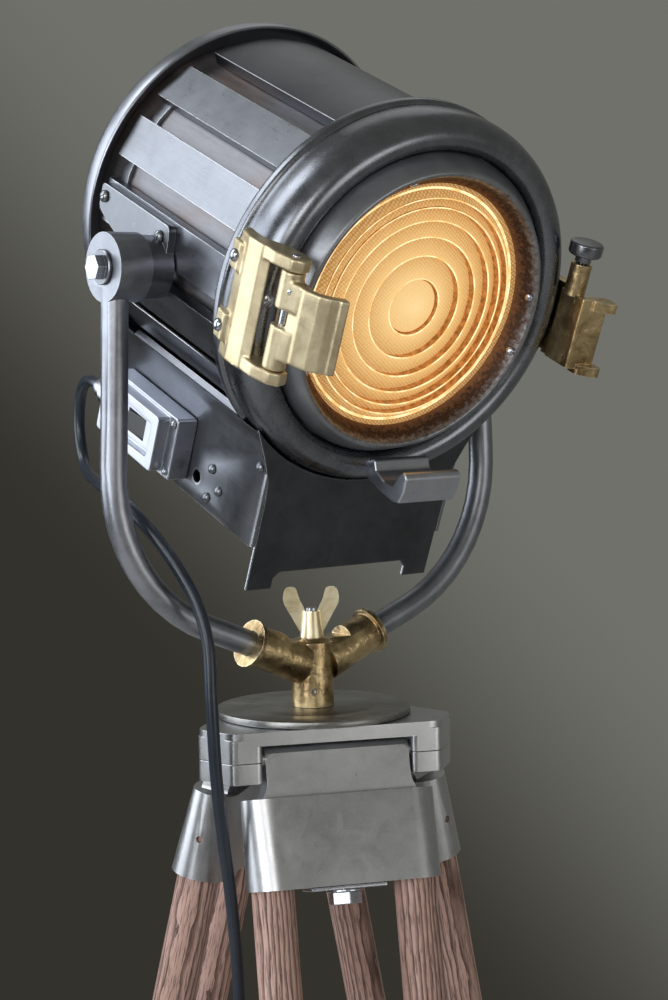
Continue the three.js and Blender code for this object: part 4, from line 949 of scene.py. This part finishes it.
def make_lens():
    """The stepped lens: a low dome in the middle, and rings that each fall away outwards."""
    dome, outmost = LENS_STEPS[0], LENS_STEPS[-1]
    outline = [
        (0, 134.5), (LENS_RADIUS, 134.5), (LENS_RADIUS, 142.5), (97, 142.5), (95, 141.2), (outmost, 140.6),
    ]
    for inner, outer in reversed(list(zip(LENS_STEPS, LENS_STEPS[1:]))):
        rise = 5.0 + 2.2 * (inner / outmost)
        for share in (0.96, 0.8, 0.6, 0.4, 0.2):
            outline.append((inner + (outer - inner) * share, 139.8 + rise * (1 - share) ** 0.85))
        outline.append((inner + 1.1, 139.8 + rise * 0.97))
        outline.append((inner + 0.3, 139.8 + rise))
        outline.append((inner, 139.8 + rise - 0.5))
        outline.append((inner - 0.05, 139.5))
    for share in (0.95, 0.85, 0.7, 0.5, 0.3, 0.12, 0):
        outline.append((dome * share, 141.5 + 5.0 * (1 - share ** 2)))
    lens = turned("stepped_lens", outline, LAMP_AXIS, 180)
    for finish in ("amber_glass", "amber_painted_shade_risers", "amber_painted_rim_highlights"):
        lens.data.materials.append(finishes[finish])
    ahead = LAMP_AXIS.to_3x3() @ Vector((0, 0, 1))
    for face in lens.data.polygons:
        from_axis = face.center - LAMP_AXIS.translation
        radius = (from_axis - ahead * from_axis.dot(ahead)).length / MM
        past_edge = min(abs(radius - edge - 0.5) for edge in LENS_STEPS)
        # Upright faces take the painted-shade riser finish, faces just past each step's top the painted-highlight
        # rim finish, the rest the glass.
        face.material_index = 1 if abs(face.normal.dot(ahead)) < 0.5 else 2 if past_edge < 0.62 else 0
    smooth(lens, 30)
    done(lens, "lamp_head", None, ["fresnel_lens"])


def arc(radius, angles):
    """Points round the drum's axis, in degrees from the top towards the left."""
    return [
        (-radius * math.sin(math.radians(angle)), AXIS_RISE + radius * math.cos(math.radians(angle)))
        for angle in angles
    ]


def mirrored(outline):
    return [(-across, up) for across, up in outline]


def make_skirts():
    """The lowest strip, the sloping shelf under it and the box's front flange, on each side."""
    angles = [124 + step * 1.85 for step in range(11)]
    strip = arc(STRIP_RADIUS, angles) + arc(STRIP_RADIUS - 2, reversed(angles))
    shelf = [(-BOX_SIDE, -103.4), (-92.6, -101.6), (-84.4, -90.4), (-83.2, -91.2), (-91.2, -102.8)]
    flange = [(-92.7, -180.6), (-92.7, -116), (-89.5, -116), (-89.5, -180.6)]
    for hand, side in (("left", list), ("right", mirrored)):
        for name, outline, rear, front, easing, finish, slot in (
            ("low_strip", strip, -93, 104, 0.7, "strip_steel", "blackened_steel"),
            ("box_shelf", shelf, -94, 112, 0.5, "box_steel", "gunmetal"),
            ("box_flange", flange, 121, 132.3, 0.4, "box_steel", "gunmetal"),
        ):
            piece = beam(f"{name}_{hand}", side(outline), rear, front)
            ease(piece, easing * MM)
            put(piece, HEAD)
            done(piece, "lamp_head", finish, slot=slot)


def round_bar(name, radius, depth, sides):
    bpy.ops.mesh.primitive_cylinder_add(vertices=sides, radius=radius * MM, depth=depth * MM)
    return named(name)


def drill_box(box):
    """The large hole in the box's left side."""
    drill = round_bar("drill", 6.6, 12, 40)
    put(drill, HEAD @ facing((1 - BOX_SIDE, -42.2, -161.5), (1, 0, 0)))
    modify(box, "BOOLEAN", object=drill, operation="DIFFERENCE", solver="EXACT")
    bpy.data.objects.remove(drill)
    collar = turned(
        "box_hole_collar", [(5.4, 0), (6.5, 0), (6.5, 2.2), (5.4, 2.2)],
        HEAD @ facing((0.2 - BOX_SIDE, -42.2, -161.5), (1, 0, 0)), 40,
    )
    smooth(collar)
    done(collar, "lamp_head", "bolt_steel", slot="plain_steel")


def bright_rim(plate):
    """The plate's cut edge gets the brighter bolt steel: partly bare steel, partly a painted highlight."""
    plate.data.materials.append(finishes["bolt_steel"])
    ahead = LAMP_AXIS.to_3x3() @ Vector((0, 0, 1))
    for face in plate.data.polygons:
        face.material_index = int(abs(face.normal.dot(ahead)) < 0.75)


def make_base():
    drill_box(dressed("base_box", "box_steel", 0.6))
    bright_rim(dressed("front_plate", "plate_steel", 0.8))
    make_skirts()
    lug = round_bar("ring_lug", 5.2, 14, 24)
    ease(lug, 0.002, segments=3)
    put(lug, HEAD @ facing((-96, -99.5, -88), (-0.45, -0.6, 0.65)))
    done(lug, "lamp_head", "bolt_steel", slot="plain_steel")
    for hand in ("left", "right"):
        dressed(f"trunnion_bracket_{hand}", "bracket_steel", 1.0)
    screws("side_rivets", "lamp_head", HEAD, dome_screw(4.2, 3.0, False), [
        ((-BOX_SIDE, -ahead, up), LEFT, 0)
        for ahead, up in ((62, -146), (76, -159), (62, -171), (123, -116), (103.6, -97))
    ], "box_steel")
    screws("bracket_screws", "lamp_head", HEAD, dome_screw(5.0, 3.2), [
        ((-145, 84, 28), LEFT, 0.7), ((-145, -4, 26.5), LEFT, 1.3),
        ((145, 84, 28), RIGHT, 0.4), ((145, -4, 26.5), RIGHT, 2.0),
    ], "strip_steel")
    screws("bezel_rivets", "lamp_head", LAMP_AXIS, dome_screw(3.4, 2.0, False), [
        ((106 * math.cos(turn), 106 * math.sin(turn), 153.2), (-math.cos(turn), -math.sin(turn), 0.55), 0)
        for turn in (0.10, -0.33, 1.9, 3.6)
    ], "bolt_steel")
    ring = []
    for angle, ahead in ((-78.4, 112), (-104, 112), (91, 112), (105, 112)):
        swing = math.radians(angle)
        normal = (math.sin(swing), 0, math.cos(swing))
        ring.append(((147.8 * normal[0], -ahead, AXIS_RISE + 147.8 * normal[2]), normal, 0.5))
    screws("ring_screws", "lamp_head", HEAD, dome_screw(4.6, 3.0, False), ring, "strip_steel")


LATCH_MIDDLE = 25
LATCH_HALF = 48
PIN = (-137, 170)  # across, ahead


def make_latch():
    """The cast latch beside the lens, and the hook that swings on its pin."""
    across, ahead = PIN
    low, high = LATCH_MIDDLE - LATCH_HALF, LATCH_MIDDLE + LATCH_HALF
    ear = [(-143, 112), (-150, 138), (-150, 160), (-145, 176), (-138, 181.5), (-129, 178), (-126, 168),
           (-129, 152), (-133, 134), (-134, 112)]
    spine = [(-140, 108), (-148, 114), (-152, 130), (-151, 146), (-146, 153), (-140, 140), (-136, 112)]
    pocket = [(-146, 112), (-146, 139), (-124, 147), (-121, 141), (-122, 112)]
    base = cast("latch_casting", [
        slab("spine", spine, low, high),
        slab("pocket_wall", pocket, low + 6, high - 6),
        slab("lug_high", [(-150, 108), (-153, 122), (-146, 128), (-140, 108)], high - 30, high - 8),
        slab("lug_low", [(-152, 108), (-155, 122), (-146, 128), (-140, 108)], low + 12, low + 34),
        slab("ear_high", ear, high - 10, high),
        slab("ear_low", ear, low, low + 10),
    ])
    put(base, HEAD)
    done(base, "lamp_head", "pale_brass", ["latch_base"])
    arm = [(-143, 165), (-144, 174), (-140, 186), (-131, 186), (-129, 170), (-131, 163)]
    plate = [(-140, 176), (-139, 190), (-134, 201), (-127, 207.5), (-118, 211), (-116, 204), (-123, 200.5),
             (-129, 195.5), (-132, 187), (-133, 176)]
    hook = cast("hook_casting", [
        post("knuckle_high", across, ahead, 8.8, high - 39, high - 10.6),
        post("knuckle_low", across, ahead, 8.8, low + 10.6, low + 44),
        slab("arm_high", arm, high - 38, high - 17),
        slab("arm_low", arm, low + 20, low + 43),
        slab("plate", plate, low + 21, high - 18),
        slab("lip", [(-121, 203), (-121, 211.5), (-115, 213.5), (-113, 205)], low + 21, high - 18),
    ])
    put(hook, HEAD)
    done(hook, "latch_hook", "pale_brass", ["latch_hook"])
    pin = post("pin", across, ahead, 3.4, low - 1, high + 1)
    ease(pin, 0.0006)
    put(pin, HEAD)
    done(pin, "latch_hook", "bolt_steel", slot="plain_steel")
    screws("latch_screw", "lamp_head", HEAD, dome_screw(5.8, 3.6), [
        ((-136, -144.5, LATCH_MIDDLE + 5), (-0.35, -0.94, 0), 0.9),
    ], "bolt_steel")
    screws("latch_rivets", "lamp_head", HEAD, dome_screw(5.2, 4.2, False), [
        ((-151.4, -117, high - 19), (-1, 0.2, 0), 0), ((-153.4, -117, low + 23), (-1, 0.2, 0), 0),
    ], "bolt_steel")
    screws("knuckle_screws", "latch_hook", HEAD, dome_screw(2.6, 1.6), [
        ((-141.5, -177.4, high - 24), (-0.5, -0.85, 0), 0.4),
        ((-134, -178.2, low + 34), (0.3, -0.95, 0), 1.2),
    ], "bolt_steel")


def make_fittings():
    make_latch()
    channel = beam_across("channel_hook", [
        (135, -114), (143, -106), (148.5, -101.2), (152, -102), (156, -108.4), (168, -112), (179, -111),
        (183, -100), (186.5, -95.4), (190.5, -95.4), (193.5, -98.5), (193.8, -110), (190.5, -120.4),
        (183, -122.6), (166, -121.6), (149, -119.4),
    ], -8, 46)
    ease(channel, 1.6 * MM, 20, 3)
    put(channel, HEAD)
    done(channel, "lamp_head", "pale_casting", ["lower_hook"])
    dressed("side_bracket", "brown_brass", 1.0)
    dressed("knurled_screw", "ring_steel", 0.8)
    dressed("switch_box", "pale_casting", 1.2)
    dressed("rocker", "black_plastic", 0.6)
    dressed("cable_gland", "bolt_steel", 0.5)
    screws("switch_screws", "lamp_head", HEAD, dome_screw(3.4, 2.2, False), [
        ((-111.3, -24, -124), LEFT, 0), ((-111.3, -24, -165), LEFT, 0),
    ])


def make_inside():
    dressed("lamp_carriage", "dark_base", 0.5)
    dressed("bulb", "steatite", 0)
    dressed("reflector", "polished_reflector", 0)
    dressed("focus_knob", "black_plastic", 0.8)


def make_floor():
    bpy.ops.mesh.primitive_circle_add(vertices=160, radius=2.25, fill_type="NGON")
    floor = named("floor")
    in_edit(floor, lambda: bpy.ops.mesh.extrude_region_move(TRANSFORM_OT_translate={"value": (0, 0, -0.01)}))
    in_edit(floor, face_out)
    modify(floor, "BEVEL", width=0.003, segments=3, limit_method="ANGLE")
    floor.data.materials.append(finishes["floor"])


set_camera()
make_lead()
set_studio()
make_tripod_head()
for leg in range(3):
    make_leg(leg)
make_yoke()
make_housing()
make_lens()
make_base()
make_fittings()
make_inside()
make_floor()
